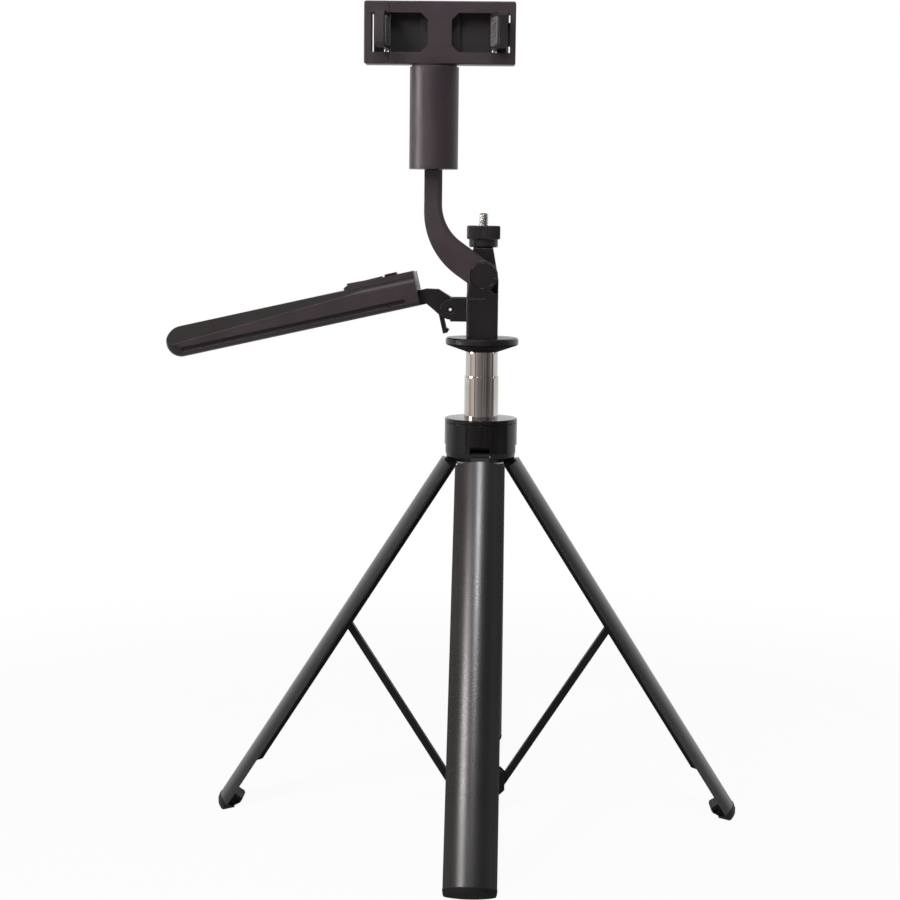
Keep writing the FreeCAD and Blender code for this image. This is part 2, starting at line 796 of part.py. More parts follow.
keep("lock_nut", turned("nut", [
    (nut_bore, nut_bottom),
    (s.nut_small_radius, nut_bottom),
    (s.nut_small_radius, nut_bottom + s.nut_step),
    (s.nut_radius, nut_bottom + s.nut_step),
    (s.nut_radius, nut_top),
    (nut_bore, nut_top),
], (0, s.screw_set_back, 0)))

# The side grip swings on a hollow pin in the fork.
grip_frame = Placement(spot(hinge_x, 0, grip_hinge_height), Rotation(Y_AXIS, -s.grip_slope.number))
pin_tube = rod("grip_pin_rod", s.grip_pin_radius, fork_out * 2, (hinge_x, -fork_out, grip_hinge_height), "Y")
pin_bore = rod("grip_pin_hole", s.grip_pin_bore, fork_out * 2 + 2, through_fork, "Y")
keep("grip_pin", cut("grip_pin_tube", pin_tube, pin_bore))

half_tongue = s.tongue_width / 2
hook_in = -s.hook_offset + s.hook_wall
neck_plate = plate("grip_neck", [
    (-s.grip_start, s.grip_floor),
    (-s.grip_start, s.crank_high),
    (-s.crank_back, s.crank_high),
    (-s.crank_front, s.crank_high - s.crank_shoulder),
    (s.crank_nose, s.crank_nose_height),
    (0, 0),
    (hook_in, -s.tongue_radius / 2),
    (hook_in, -s.hook_length + s.hook_barb * 2),
    (hook_in + s.hook_barb, -s.hook_length + s.hook_barb),
    (hook_in, -s.hook_length),
    (-s.hook_offset, -s.hook_length),
    (-s.hook_offset, -s.hook_barb),
    (-s.crank_heel, s.hook_barb),
    (-s.crank_bend, s.grip_floor),
], -half_tongue, half_tongue, grip_frame)
tongue = rod("grip_tongue", s.tongue_radius, s.tongue_width, (0, -half_tongue, 0), "Y", grip_frame)
tongue_bore = rod(
    "grip_tongue_bore", s.grip_pin_radius + s.pin_clearance, s.tongue_width + 2, (0, -half_tongue - 1, 0),
    "Y", grip_frame,
)
keep("grip_knuckle", cut("grip_knuckle_solid", fuse("grip_knuckle_blank", neck_plate, tongue), tongue_bore))

grip_roof = s.grip_floor + s.grip_height
half_grip = s.grip_width / 2
grip = plate("grip_bar", [
    (-s.grip_length, s.grip_floor),
    (-s.grip_start, s.grip_floor),
    (-s.grip_start, grip_roof),
    (-s.grip_length, grip_roof),
], -half_grip, half_grip, grip_frame)
grip = round_edges(grip, (s.grip_height - s.grip_end_flat) / 2, lambda edge: (
    corner_at(-s.grip_length, s.grip_floor)(edge) or corner_at(-s.grip_length, grip_roof)(edge)))


def grip_edge(edge):
    """Picks the long edges of the bar and of its round end."""
    ends = [v.Point for v in edge.Vertexes]
    on_side = all(abs(abs(p.y) - half_grip.number) < 1e-3 for p in ends)
    at_start = all(abs(p.x + s.grip_start.number) < 1e-3 for p in ends)
    return on_side and not at_start


grip = round_edges(grip, s.grip_round, grip_edge)
ridge_run = s.grip_length - s.grip_start
ridge_slope = math.degrees(math.atan2(s.ridge_near.number - s.ridge_far.number, ridge_run.number))
grip_cuts = []
groove_low = s.grip_floor + s.grip_groove_rise
groove_near = -s.grip_start - s.grip_groove_inset
for hand, sign in (("front", -1), ("back", 1)):
    ridge = Placement(
        spot(-s.grip_length, half_grip * sign, s.grip_floor + s.ridge_far),
        Rotation(Y_AXIS, -ridge_slope) * Rotation(X_AXIS, -sign * (90 - s.facet_lean.number)),
    )
    grip_cuts.append(box(
        f"facet_{hand}", (-s.grip_height, s.grip_length), (-s.grip_width, s.grip_width), (0, s.grip_width),
        grip_frame * ridge,
    ))
    groove_face = half_grip * sign - s.grip_groove_depth
    groove_deep = s.grip_groove_depth * 2
    grip_cuts.append(box(
        f"grip_groove_{hand}", (-s.grip_length + s.grip_groove_inset, groove_near),
        (groove_face, groove_face + groove_deep), (groove_low, groove_low + s.grip_groove_height), grip_frame,
    ))
    grip_cuts.append(rod(
        f"groove_end_{hand}", s.grip_groove_height / 2, groove_deep,
        (groove_near, groove_face, groove_low + s.grip_groove_height / 2), "Y", grip_frame,
    ))
deck_top = grip_roof + s.deck_height
deck = plate("grip_deck", [
    (-s.deck_start, grip_roof - s.grip_round),
    (-s.grip_start, grip_roof - s.grip_round),
    (-s.grip_start, deck_top),
    (-s.deck_start + s.deck_height, deck_top),
    (-s.deck_start, deck_top - s.deck_height / 2),
], -s.deck_width / 2, s.deck_width / 2, grip_frame)
keep("grip_body", fuse("grip_body_solid", cut("grip_bar_solid", grip, *grip_cuts), deck))

rocker_end = s.rocker_start + s.rocker_length
half_control = s.control_width / 2
keep("grip_rocker", plate("rocker", [
    (-rocker_end, deck_top),
    (-s.rocker_start, deck_top),
    (-s.rocker_start, deck_top + s.rocker_height),
    (-s.rocker_start - s.rocker_length / 2, deck_top + s.rocker_height - s.rocker_dish),
    (-rocker_end, deck_top + s.rocker_height),
], -half_control, half_control, grip_frame))
button_end = s.button_start + s.button_length
keep("grip_button", plate("button", [
    (-button_end, deck_top),
    (-s.button_start, deck_top),
    (-s.button_start - s.rocker_dish, deck_top + s.button_height),
    (-button_end + s.rocker_dish, deck_top + s.button_height),
], -half_control, half_control, grip_frame))
strip_low = s.crank_high + s.seam
strip_high = deck_top - s.strip_drop
strip_face = -s.grip_start + s.strip_wall
strip_blank = plate("end_strip", [
    (-s.grip_start, strip_low),
    (strip_face, strip_low),
    (strip_face, strip_high),
    (-s.grip_start, strip_high),
], -s.strip_width / 2, s.strip_width / 2, grip_frame)
strip_pitch = (strip_high - strip_low) / STRIP_RIBS
rib_half = s.strip_width / 2 - s.strip_rib_inset
strip_grooves = []
for step in range(1, STRIP_RIBS):
    height = strip_low + strip_pitch * step
    strip_grooves.append(box(
        f"strip_groove_{step}", (strip_face - s.strip_rib_depth, strip_face + 1),
        (-rib_half, rib_half), (height - s.strip_rib / 2, height + s.strip_rib / 2), grip_frame,
    ))
keep("grip_end_strip", cut("end_strip_solid", strip_blank, *strip_grooves))

# The phone arm: an eye on the head's pin, a swept neck and an upright stem with a round spigot.
stem_out = -s.stem_offset - s.stem_width / 2
stem_in = -s.stem_offset + s.stem_width / 2
stem_y = arm_front + s.arm_wall / 2
stem_top = arm_pivot_height + s.stem_rise
out_low = (stem_out, arm_pivot_height + s.arm_outer_rise)
in_low = (stem_in, arm_pivot_height + s.arm_inner_rise)
root_x = s.arm_root_radius * cosine(s.arm_sweep)
root_z = s.arm_root_radius * sine(s.arm_sweep)
arm = plate("arm_plate", [
    (stem_out, stem_top),
    out_low,
    (-root_x, arm_pivot_height - root_z),
    (root_x, arm_pivot_height + root_z),
    in_low,
    (stem_in, stem_top),
], arm_front, arm_back)
arm = round_edges(arm, s.arm_bend, corner_at(*out_low))
arm = round_edges(arm, s.arm_inner_bend, corner_at(*in_low))


def inner_edge(edge):
    """Picks the front edge along the inside of the arm's bend."""
    ends = [v.Point for v in edge.Vertexes]
    middle = edge.valueAt((edge.FirstParameter + edge.LastParameter) / 2)
    in_front = all(abs(p.y - arm_front.number) < 1e-3 for p in ends)
    above_eye = middle.z > (arm_pivot_height + root_z).number
    return in_front and above_eye and middle.x > (stem_in - s.side_clearance).number


arm = bevel_edges(arm, s.arm_bevel, inner_edge)
eye = rod("arm_eye", s.arm_eye_radius, s.arm_wall, (0, arm_front, arm_pivot_height), "Y")
eye_bore = rod(
    "arm_eye_bore", s.arm_pin_radius + s.pin_clearance, s.arm_wall + 2,
    (0, arm_front - 1, arm_pivot_height), "Y",
)
stem_spigot = rod("arm_spigot", s.spigot_radius, s.spigot_height + 1, (-s.stem_offset, stem_y, stem_top - 1))
keep("phone_arm", cut("phone_arm_solid", fuse("phone_arm_blank", arm, eye, stem_spigot), eye_bore))

# The pan housing turns on the arm's spigot and carries the phone clamp.
housing_bottom = stem_top + s.seam
housing_top = housing_bottom + s.housing_height
spigot_bore = s.spigot_radius + s.pin_clearance
spigot_top = stem_top + s.spigot_height + s.seam
keep("pan_housing", turned("housing", [
    (spigot_bore, housing_bottom),
    (s.housing_radius, housing_bottom),
    (s.housing_radius, housing_top),
    (0, housing_top),
    (0, spigot_top),
    (spigot_bore, spigot_top),
], (-s.stem_offset, stem_y, 0)))
clamp_bottom = housing_top + s.collar_height
keep("pan_collar", rod("collar", s.collar_radius, s.collar_height, (-s.stem_offset, stem_y, housing_top)))

# The phone clamp: a fixed body, a sliding jaw on two rods, and a flap hinged at each end.
clamp_top = clamp_bottom + s.clamp_height
clamp_middle = clamp_bottom + s.clamp_height / 2
clamp_front = stem_y - s.clamp_depth / 2
clamp_back = stem_y + s.clamp_depth / 2
pocket = (clamp_middle - s.pocket_height / 2, clamp_middle + s.pocket_height / 2)
pocket_floor = clamp_front + s.pocket_depth
flap_hinge_y = clamp_front + s.flap_hinge_depth
left_hinge_x = -s.clamp_left - s.flap_hinge_inset
right_end_wall = s.clamp_right - s.end_wall
right_window = s.clamp_right - s.jaw_length
right_hinge_x = right_window + s.flap_hinge_inset


def slab(name, left, right, round_left):
    """A block of the clamp with its outer corners rounded and its rims bevelled at one end."""
    end = left if round_left else right
    body = plate(name, [
        (left, clamp_bottom), (right, clamp_bottom), (right, clamp_top), (left, clamp_top),
    ], clamp_front, clamp_back)
    low, high = corner_at(end, clamp_bottom), corner_at(end, clamp_top)
    body = round_edges(body, s.clamp_round, lambda edge: low(edge) or high(edge))
    seam_end = Size.of(right if round_left else left).number

    def rim(edge):
        ends = [v.Point for v in edge.Vertexes]
        flat = abs(ends[0].y - ends[-1].y) < 1e-3
        return flat and not all(abs(p.x - seam_end) < 1e-3 for p in ends)

    return bevel_edges(body, s.clamp_edge, rim)


def pocket_cut(name, mouth, inner_end):
    """A flap pocket: open at its mouth, with a shelf and chamfered corners at its inner end."""
    sign = 1 if Size.of(inner_end).number > Size.of(mouth).number else -1
    corner = Size.of(inner_end) - s.pocket_chamfer * sign
    recess = plate(name, [
        (mouth, pocket[0]),
        (corner, pocket[0]),
        (inner_end, pocket[0] + s.pocket_chamfer),
        (inner_end, pocket[1] - s.pocket_chamfer),
        (corner, pocket[1]),
        (mouth, pocket[1]),
    ], clamp_front - 1, clamp_front + s.shelf_depth)
    deep_end = Size.of(inner_end) - s.shelf_length * sign
    near, far = (mouth, deep_end) if sign > 0 else (deep_end, mouth)
    return [recess, box(f"{name}_deep", (near, far), (clamp_front - 1, pocket_floor), pocket)]


clamp_blank = slab("clamp_blank", -s.clamp_left, s.clamp_right, False)
through = (clamp_front - 1, clamp_back + 1)
notch = (pocket[0], pocket[0] + s.flap_foot_gap)
half_notch = s.notch_width / 2
right_slit = (right_end_wall - s.slit_width, right_end_wall)
cuts = [
    *pocket_cut("pocket_left", -s.clamp_left - 1, -s.clamp_left + s.pocket_length),
    *pocket_cut("pocket_right", right_window + 1, right_window - s.pocket_length),
    box("recess_right", (right_window, right_end_wall), (clamp_front - 1, pocket_floor), pocket),
    box("slit_right_low", right_slit, through, (pocket[0], pocket[0] + s.slit_length)),
    box("slit_right_high", right_slit, through, (pocket[1] - s.slit_length, pocket[1])),
    box("notch_right", (right_hinge_x - half_notch, right_hinge_x + half_notch), through, notch),
    rod("flap_hole_right", s.flap_pin_radius, s.pocket_height + s.flap_pin_seat * 2,
        (right_hinge_x, flap_hinge_y, pocket[0] - s.flap_pin_seat)),
]
rod_heights = {"low": clamp_bottom + s.rod_inset, "high": clamp_top - s.rod_inset}
rods = []
for name, height in rod_heights.items():
    cuts.append(rod(
        f"rod_bore_{name}", s.rod_radius + s.slide_clearance, s.rod_length + s.seam + 1,
        (-s.clamp_left - 1, stem_y, height), "X",
    ))
    rods.append(rod(
        f"jaw_rod_{name}", s.rod_radius, s.rod_length + 3, (-s.clamp_left - 3, stem_y, height), "X",
    ))
keep("clamp_body", cut("clamp_solid", clamp_blank, *cuts))

jaw_right = -s.clamp_left - s.seam
jaw_left = -s.clamp_left - s.jaw_length
jaw_blank = slab("jaw_blank", jaw_left, jaw_right, True)
jaw_edge = jaw_left + s.jaw_end_wall
jaw_recess = box("jaw_recess", (jaw_edge, jaw_right + 1), (clamp_front - 1, pocket_floor), pocket)
jaw_slit = box("jaw_slit", (jaw_edge, jaw_edge + s.slit_width), through, pocket)
jaw_notch = box("jaw_notch", (left_hinge_x - half_notch, left_hinge_x + half_notch), through, notch)
jaw_hole = rod("flap_hole_left", s.flap_pin_radius, s.pocket_height + s.flap_pin_seat * 2,
               (left_hinge_x, flap_hinge_y, pocket[0] - s.flap_pin_seat))
jaw_frame = cut("jaw_frame", jaw_blank, jaw_recess, jaw_slit, jaw_notch, jaw_hole)
keep("sliding_jaw", fuse("jaw_solid", jaw_frame, *rods))


def flap(side, hinge_x, sign, lean):
    """A fold-out flap: a plate on a vertical pin that leans outward from the clamp's face."""
    frame = Placement(spot(hinge_x, flap_hinge_y, 0), Rotation(Z_AXIS, sign * lean.number))
    low, high = pocket[0] + s.flap_foot_gap, pocket[1] - s.side_clearance
    half = s.flap_wall / 2
    lying = frame * Placement(Vector(), Rotation(Z_AXIS, 90))
    leaf = plate(f"flap_leaf_{side}", [
        (0, low),
        (0, high),
        (-s.flap_length + s.flap_chamfer, high),
        (-s.flap_length, high - s.flap_chamfer),
        (-s.flap_length, low + s.flap_chamfer),
        (-s.flap_length + s.flap_chamfer, low),
    ], -half, half, lying)
    barrel = rod(f"flap_barrel_{side}", half, high - low, (0, 0, low), "Z", frame)
    bore_radius = s.flap_pin_radius + s.pin_clearance
    bore = rod(f"flap_bore_{side}", bore_radius, high - low + 2, (0, 0, low - 1), "Z", frame)
    keep(f"flap_{side}", cut(f"flap_solid_{side}", fuse(f"flap_blank_{side}", leaf, barrel), bore))
    keep(f"flap_pin_{side}", rod(
        f"flap_rod_{side}", s.flap_pin_radius, s.pocket_height + s.flap_pin_seat * 2,
        (0, 0, pocket[0] - s.flap_pin_seat), "Z", frame,
    ))
    inner = (half, half + s.pad_wall) if sign < 0 else (-half - s.pad_wall, -half)
    keep(f"flap_pad_{side}", box(
        f"pad_{side}", inner, (-s.pad_inset - s.pad_length, -s.pad_inset),
        (clamp_middle - s.pad_height / 2, clamp_middle + s.pad_height / 2), frame,
    ))


flap("left", left_hinge_x, -1, s.left_flap_lean)
flap("right", right_hinge_x, 1, s.right_flap_lean)

doc.recompute()
for obj in doc.Objects:
    if "Invalid" in obj.State or "Error" in obj.State:
        raise RuntimeError(f"{obj.Label} failed: {obj.State}")
for label, obj in nodes.items():
    if obj.Shape.isNull() or not obj.Shape.isValid() or not obj.Shape.Solids:
        raise RuntimeError(f"{label} has no valid solid")

os.makedirs("parts", exist_ok=True)
for label, obj in nodes.items():
    obj.Shape.exportStep(os.path.join("parts", f"{label}.step"))
print(len(nodes), "parts, strut", round(strut_length, 3), "mm leaning", round(strut_lean, 3))
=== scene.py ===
import math

import bmesh
import bpy
from mathutils import Matrix, Vector


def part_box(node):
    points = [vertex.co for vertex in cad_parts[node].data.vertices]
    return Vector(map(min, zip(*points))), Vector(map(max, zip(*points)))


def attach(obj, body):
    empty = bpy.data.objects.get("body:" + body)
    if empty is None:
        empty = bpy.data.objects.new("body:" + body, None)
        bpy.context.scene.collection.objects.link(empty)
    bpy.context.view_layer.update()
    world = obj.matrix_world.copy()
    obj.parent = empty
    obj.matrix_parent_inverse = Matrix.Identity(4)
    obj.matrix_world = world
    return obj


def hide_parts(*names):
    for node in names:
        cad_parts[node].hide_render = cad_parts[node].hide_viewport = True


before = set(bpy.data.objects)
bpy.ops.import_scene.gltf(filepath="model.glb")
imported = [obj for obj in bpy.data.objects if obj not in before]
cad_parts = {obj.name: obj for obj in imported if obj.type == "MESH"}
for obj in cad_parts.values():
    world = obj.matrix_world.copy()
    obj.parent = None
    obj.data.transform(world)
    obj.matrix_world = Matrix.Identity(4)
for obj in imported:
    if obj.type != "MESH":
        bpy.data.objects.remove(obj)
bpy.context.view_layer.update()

# Selfie stick on a folding four-legged stand: finishes, thread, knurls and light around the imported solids.
MM = 0.001
SIDES = ("front", "right", "back", "left")


# Shader expressions

class Wire:
    """A shader socket; sums and products with it add Math nodes to its finish."""

    def __init__(self, finish, socket):
        self.finish = finish
        self.socket = socket

    def math(self, operation, *values):
        return self.finish.node("ShaderNodeMath", {"operation": operation}, dict(enumerate(values)))

    def __add__(self, other):
        return self.math("ADD", self, other)

    __radd__ = __add__

    def __sub__(self, other):
        return self.math("SUBTRACT", self, other)

    def __rsub__(self, other):
        return self.math("SUBTRACT", other, self)

    def __mul__(self, other):
        return self.math("MULTIPLY", self, other)

    __rmul__ = __mul__

    def __truediv__(self, other):
        return self.math("DIVIDE", self, other)

    def __rtruediv__(self, other):
        return self.math("DIVIDE", other, self)

    def __pow__(self, other):
        return self.math("POWER", self, other)

    def __rpow__(self, other):
        return self.math("POWER", other, self)

    def greater(self, other):
        return self.math("MAXIMUM", self, other)

    def ramp(self, low, high, to_low=0.0, to_high=1.0):
        """This value eased from one span to another and held inside it."""
        return self.finish.node(
            "ShaderNodeMapRange", {"interpolation_type": "SMOOTHSTEP", "clamp": True},
            {"Value": self, "From Min": low, "From Max": high, "To Min": to_low, "To Max": to_high},
        )


EVEN = (1.0, 1.0, 1.0)
BEVEL_SAMPLES = 4


class Finish:
    """The nodes of a material or world: `node` adds any node, and the other methods the common ones."""

    def __init__(self, owner):
        self.owner = owner
        owner.use_nodes = True
        self.tree = owner.node_tree
        self.tree.nodes.clear()

    def node(self, kind, settings=None, inputs=None, output=0):
        made = self.tree.nodes.new(kind)
        for key, value in (settings or {}).items():
            if key == "stops":
                ramp = made.color_ramp
                while len(ramp.elements) < len(value):
                    ramp.elements.new(1.0)
                for element, (place, colour) in zip(ramp.elements, value):
                    element.position = place
                    element.color = (*colour, 1.0)
            else:
                setattr(made, key, value)
        for key, value in (inputs or {}).items():
            if isinstance(value, Wire):
                self.tree.links.new(value.socket, made.inputs[key])
            elif isinstance(value, tuple) and made.inputs[key].type == "RGBA":
                made.inputs[key].default_value = (*value, 1.0)
            else:
                made.inputs[key].default_value = value
        return Wire(self, made.outputs[output]) if made.outputs else None

    def vector(self, operation, *values, output=0):
        return self.node("ShaderNodeVectorMath", {"operation": operation}, dict(enumerate(values)), output)

    def part(self, vector, axis):
        """One of a vector's X, Y and Z parts."""
        return self.node("ShaderNodeSeparateXYZ", None, {0: vector}, output=axis)

    def spot(self):
        """The object's own coordinates in metres."""
        return self.node("ShaderNodeTexCoord", output="Object")

    def place(self, stretch=EVEN):
        """The object's own coordinates, stretched along each axis."""
        return self.vector("MULTIPLY", self.spot(), stretch)

    def noise(self, scale, detail=2.0, stretch=EVEN):
        return self.node(
            "ShaderNodeTexNoise", {"noise_dimensions": "3D"},
            {"Vector": self.place(stretch), "Scale": scale, "Detail": detail},
        )

    def mix(self, mask, low, high):
        """Colour `low` where the mask is 0 and `high` where it is 1."""
        return self.node(
            "ShaderNodeMix", {"data_type": "RGBA"}, {0: mask, 6: low, 7: high}, output=2,
        )

    def inside_box(self, low, high, ease):
        """1 inside a box of the object's own coordinates, eased to 0 just past its walls."""
        middle = (low + high) / 2
        half = (high - low) / 2
        away = self.vector("ABSOLUTE", self.vector("SUBTRACT", self.spot(), tuple(middle)))
        past = self.vector("SUBTRACT", away, tuple(half))
        x, y, z = (self.part(past, axis) for axis in "XYZ")
        return x.greater(y).greater(z).ramp(0.0, ease, to_low=1.0, to_high=0.0)

    def soft_normal(self, radius):
        """The surface normal with its sharp edges eased over a radius."""
        return self.node("ShaderNodeBevel", {"samples": BEVEL_SAMPLES}, {"Radius": radius})

    def edge_mask(self, soft, gain):
        """1 along edges, where the eased normal leaves the true one."""
        true = self.node("ShaderNodeNewGeometry", output="Normal")
        dot = self.vector("DOT_PRODUCT", soft, true, output="Value")
        return ((1.0 - dot) * gain).ramp(0.0, 1.0)

    def bump(self, height, strength, distance, normal):
        return self.node(
            "ShaderNodeBump", None,
            {"Height": height, "Strength": strength, "Distance": distance, "Normal": normal},
        )

    def surface(self, **sockets):
        """A Principled shader; underscores in a name stand for spaces."""
        inputs = {key.replace("_", " "): value for key, value in sockets.items()}
        return self.node("ShaderNodeBsdfPrincipled", None, inputs)

    def close(self, shader, kind="ShaderNodeOutputMaterial"):
        """Sends a shader to the output and gives back the material or world."""
        self.node(kind, None, {"Surface": shader})
        return self.owner


def new_finish(name):
    return Finish(bpy.data.materials.new(name))


# Finishes

EDGE_GAIN = 3.0
MIDDLE = 0.5
# Pale edge colour lifted from the pale tone: rubbed wear, and at high rub strengths a painted edge highlight.
RUB_AND_HIGHLIGHT_BASE = 0.10
RUB_AND_HIGHLIGHT_LIFT = 2.2
DUST_SHARE = 0.10
PAINTED_SHADE_SHARE = 0.85


def moulded_plastic(name, tones, roughness, grain, reflect, rub_and_edge_highlight=0.35, edge=0.4 * MM, darkened=None):
    """Injection-moulded black plastic: spark-eroded grain, flow mottling, edges paler from rubbed wear and
    painted highlights, and areas darkened with painted shade.
    """
    f = new_finish(name)
    dark, pale = tones
    rubbed_and_highlit = tuple(RUB_AND_HIGHLIGHT_BASE + RUB_AND_HIGHLIGHT_LIFT * c for c in pale)
    soft = f.soft_normal(edge)
    pale_edges = f.edge_mask(soft, EDGE_GAIN) * f.noise(scale=420.0, detail=3.0).ramp(low=0.30, high=0.62)
    flow = f.noise(scale=38.0, detail=3.0).ramp(low=0.30, high=0.72)
    fine = f.noise(scale=grain, detail=2.0)
    dust = f.noise(scale=1900.0, detail=1.0).ramp(low=0.70, high=0.80)
    colour = f.mix(flow, dark, pale)
    rough = roughness + flow * 0.06 + (fine - MIDDLE) * 0.10 - pale_edges * 0.10
    # Painted shade: a mask darkens the colour where shade falls, on pocket walls and on the grip's upper
    # facets, end and groove band.
    if darkened:
        find, painted_shade_colour, painted_shade_rough = darkened
        inside = find(f)
        colour = f.mix(inside * PAINTED_SHADE_SHARE, colour, painted_shade_colour)
        rough = rough + inside * painted_shade_rough
    # Edge mask times rub strength: rubbed wear at 0.35, a painted edge highlight at 0.8 to 1.0; dust adds
    # small pale specks.
    colour = f.mix(pale_edges * rub_and_edge_highlight + dust * DUST_SHARE, colour, rubbed_and_highlit)
    normal = f.bump(fine, strength=0.35, distance=0.09 * MM, normal=soft)
    return f.close(f.surface(Base_Color=colour, Roughness=rough, Specular_IOR_Level=reflect, Normal=normal))


SKIN_DARK = (0.0085, 0.0073, 0.0076)
SKIN_PALE = (0.0120, 0.0104, 0.0108)
SKIN_WORN = (0.20, 0.19, 0.185)
SKIN_WORN_SHARE = 0.45
PEEL_LINES = 0.6


def leg_skin_finish():
    """Satin black anodised skin: faint drawing lines down the leg and a slight orange peel."""
    f = new_finish("leg_skin_satin")
    soft = f.soft_normal(radius=0.4 * MM)
    pale_edges = f.edge_mask(soft, EDGE_GAIN) * f.noise(scale=300.0, detail=3.0).ramp(low=0.42, high=0.70)
    peel = f.noise(scale=760.0, detail=2.0)
    cloud = f.noise(scale=22.0, detail=4.0).ramp(low=0.30, high=0.70)
    drawn = f.noise(scale=1.0, detail=2.0, stretch=(900.0, 900.0, 9.0))
    colour = f.mix(cloud, SKIN_DARK, SKIN_PALE)
    colour = f.mix(pale_edges * SKIN_WORN_SHARE, colour, SKIN_WORN)
    rough = 0.27 + cloud * 0.04 + (drawn - MIDDLE) * 0.08
    normal = f.bump(peel + drawn * PEEL_LINES, strength=0.06, distance=0.04 * MM, normal=soft)
    return f.close(f.surface(Base_Color=colour, Roughness=rough, Specular_IOR_Level=0.75, Normal=normal))


GLOSS_DARK = (0.0075, 0.0068, 0.0070)
GLOSS_PALE = (0.0125, 0.0115, 0.0118)
GLOSS_SCUFF = (0.09, 0.085, 0.085)
GLOSS_SCUFF_SHARE = 0.12


def gloss_plastic():
    """Polished black moulding with a lacquer look, hairline scuffs and faint finger haze."""
    f = new_finish("gloss_moulding")
    soft = f.soft_normal(radius=0.5 * MM)
    haze = f.noise(scale=65.0, detail=4.0).ramp(low=0.35, high=0.75)
    scuff = f.noise(scale=1.0, detail=2.0, stretch=(500.0, 500.0, 2600.0)).ramp(low=0.66, high=0.74)
    colour = f.mix(haze, GLOSS_DARK, GLOSS_PALE)
    colour = f.mix(scuff * GLOSS_SCUFF_SHARE, colour, GLOSS_SCUFF)
    rough = 0.13 + haze * 0.09 + scuff * 0.14
    ripple = f.noise(scale=150.0, detail=1.0)
    normal = f.bump(ripple, strength=0.10, distance=0.08 * MM, normal=soft)
    return f.close(f.surface(Base_Color=colour, Roughness=rough, Specular_IOR_Level=0.30, Normal=normal))


FLANGE_DARK = (0.0100, 0.0090, 0.0092)
FLANGE_PALE = (0.0160, 0.0145, 0.0148)
UNDERSIDE_SPAN = (-0.30, -0.60)


def flange_finish():
    """Satin black disc with a sheen on top; its underside is left dull from the mould."""
    f = new_finish("flange_satin")
    soft = f.soft_normal(radius=0.5 * MM)
    haze = f.noise(scale=70.0, detail=4.0).ramp(low=0.35, high=0.75)
    grain = f.noise(scale=2200.0, detail=2.0)
    colour = f.mix(haze, FLANGE_DARK, FLANGE_PALE)
    normal = f.bump(grain, strength=0.20, distance=0.06 * MM, normal=soft)
    rough = 0.26 + haze * 0.10
    sheen = f.surface(Base_Color=colour, Roughness=rough, Specular_IOR_Level=0.35, Normal=normal)
    darkened = f.surface(Base_Color=colour, Roughness=0.80, Specular_IOR_Level=0.04, Normal=normal)
    facing = f.node("ShaderNodeNewGeometry", output="Normal")
    below = f.part(facing, "Z").ramp(*UNDERSIDE_SPAN)
    return f.close(f.node("ShaderNodeMixShader", None, {0: below, 1: sheen, 2: darkened}))


PLATE_DARK = (0.46, 0.425, 0.395)
PLATE_PALE = (0.56, 0.525, 0.495)
PLATE_SCUFF = (0.30, 0.27, 0.24)
PLATE_SCUFF_SHARE = 0.30


def plated_tube_finish():
    """Bright warm plating on drawn tube: long draw lines, slight clouding and fine scuffs round the tube."""
    f = new_finish("plated_tube")
    soft = f.soft_normal(radius=0.3 * MM)
    drawn = f.noise(scale=1.0, detail=3.0, stretch=(1500.0, 1500.0, 14.0))
    cloud = f.noise(scale=46.0, detail=4.0).ramp(low=0.30, high=0.72)
    ringed = f.noise(scale=1.0, detail=2.0, stretch=(60.0, 60.0, 1700.0)).ramp(low=0.62, high=0.76)
    colour = f.mix(cloud, PLATE_DARK, PLATE_PALE)
    colour = f.mix(ringed * PLATE_SCUFF_SHARE, colour, PLATE_SCUFF)
    rough = 0.06 + cloud * 0.04 + (drawn - MIDDLE) * 0.06 + ringed * 0.08
    normal = f.bump(drawn, strength=0.10, distance=0.03 * MM, normal=soft)
    return f.close(f.surface(Base_Color=colour, Metallic=1.0, Roughness=rough, Normal=normal))


STEEL_CLEAN = (0.66, 0.65, 0.63)
STEEL_FILM = (0.44, 0.425, 0.40)


def steel_finish():
    """Plain turned steel: rings from the tool and darker oil film in patches."""
    f = new_finish("turned_steel")
    turned = f.noise(scale=1.0, detail=2.0, stretch=(120.0, 120.0, 5200.0))
    film = f.noise(scale=240.0, detail=3.0).ramp(low=0.42, high=0.74)
    colour = f.mix(film, STEEL_CLEAN, STEEL_FILM)
    rough = 0.22 + film * 0.10 + (turned - MIDDLE) * 0.12
    soft = f.soft_normal(radius=0.2 * MM)
    normal = f.bump(turned, strength=0.15, distance=0.03 * MM, normal=soft)
    return f.close(f.surface(Base_Color=colour, Metallic=1.0, Roughness=rough, Normal=normal))


# Rubber tones: the rubber's own grey, lightened as a painted reflection of the left lamps.
RUBBER_DARK = (0.135, 0.128, 0.131)
RUBBER_BLOOM = (0.205, 0.196, 0.200)
PEBBLE_SCALE = 1500.0


def rubber_finish():
    """Grey rubber, finely pebbled, with a dusty bloom; its light grey base is partly a painted reflection of
    the lamps on the left.
    """
    f = new_finish("pad_rubber")
    soft = f.soft_normal(radius=0.4 * MM)
    pebble = f.node(
        "ShaderNodeTexVoronoi", {"feature": "SMOOTH_F1"}, {"Vector": f.place(), "Scale": PEBBLE_SCALE},
        output="Distance",
    )
    bloom = f.noise(scale=90.0, detail=4.0).ramp(low=0.35, high=0.75)
    colour = f.mix(bloom, RUBBER_DARK, RUBBER_BLOOM)
    rough = 0.30 + bloom * 0.14
    normal = f.bump(pebble, strength=0.20, distance=0.06 * MM, normal=soft)
    return f.close(f.surface(Base_Color=colour, Roughness=rough, Specular_IOR_Level=0.50, Normal=normal))


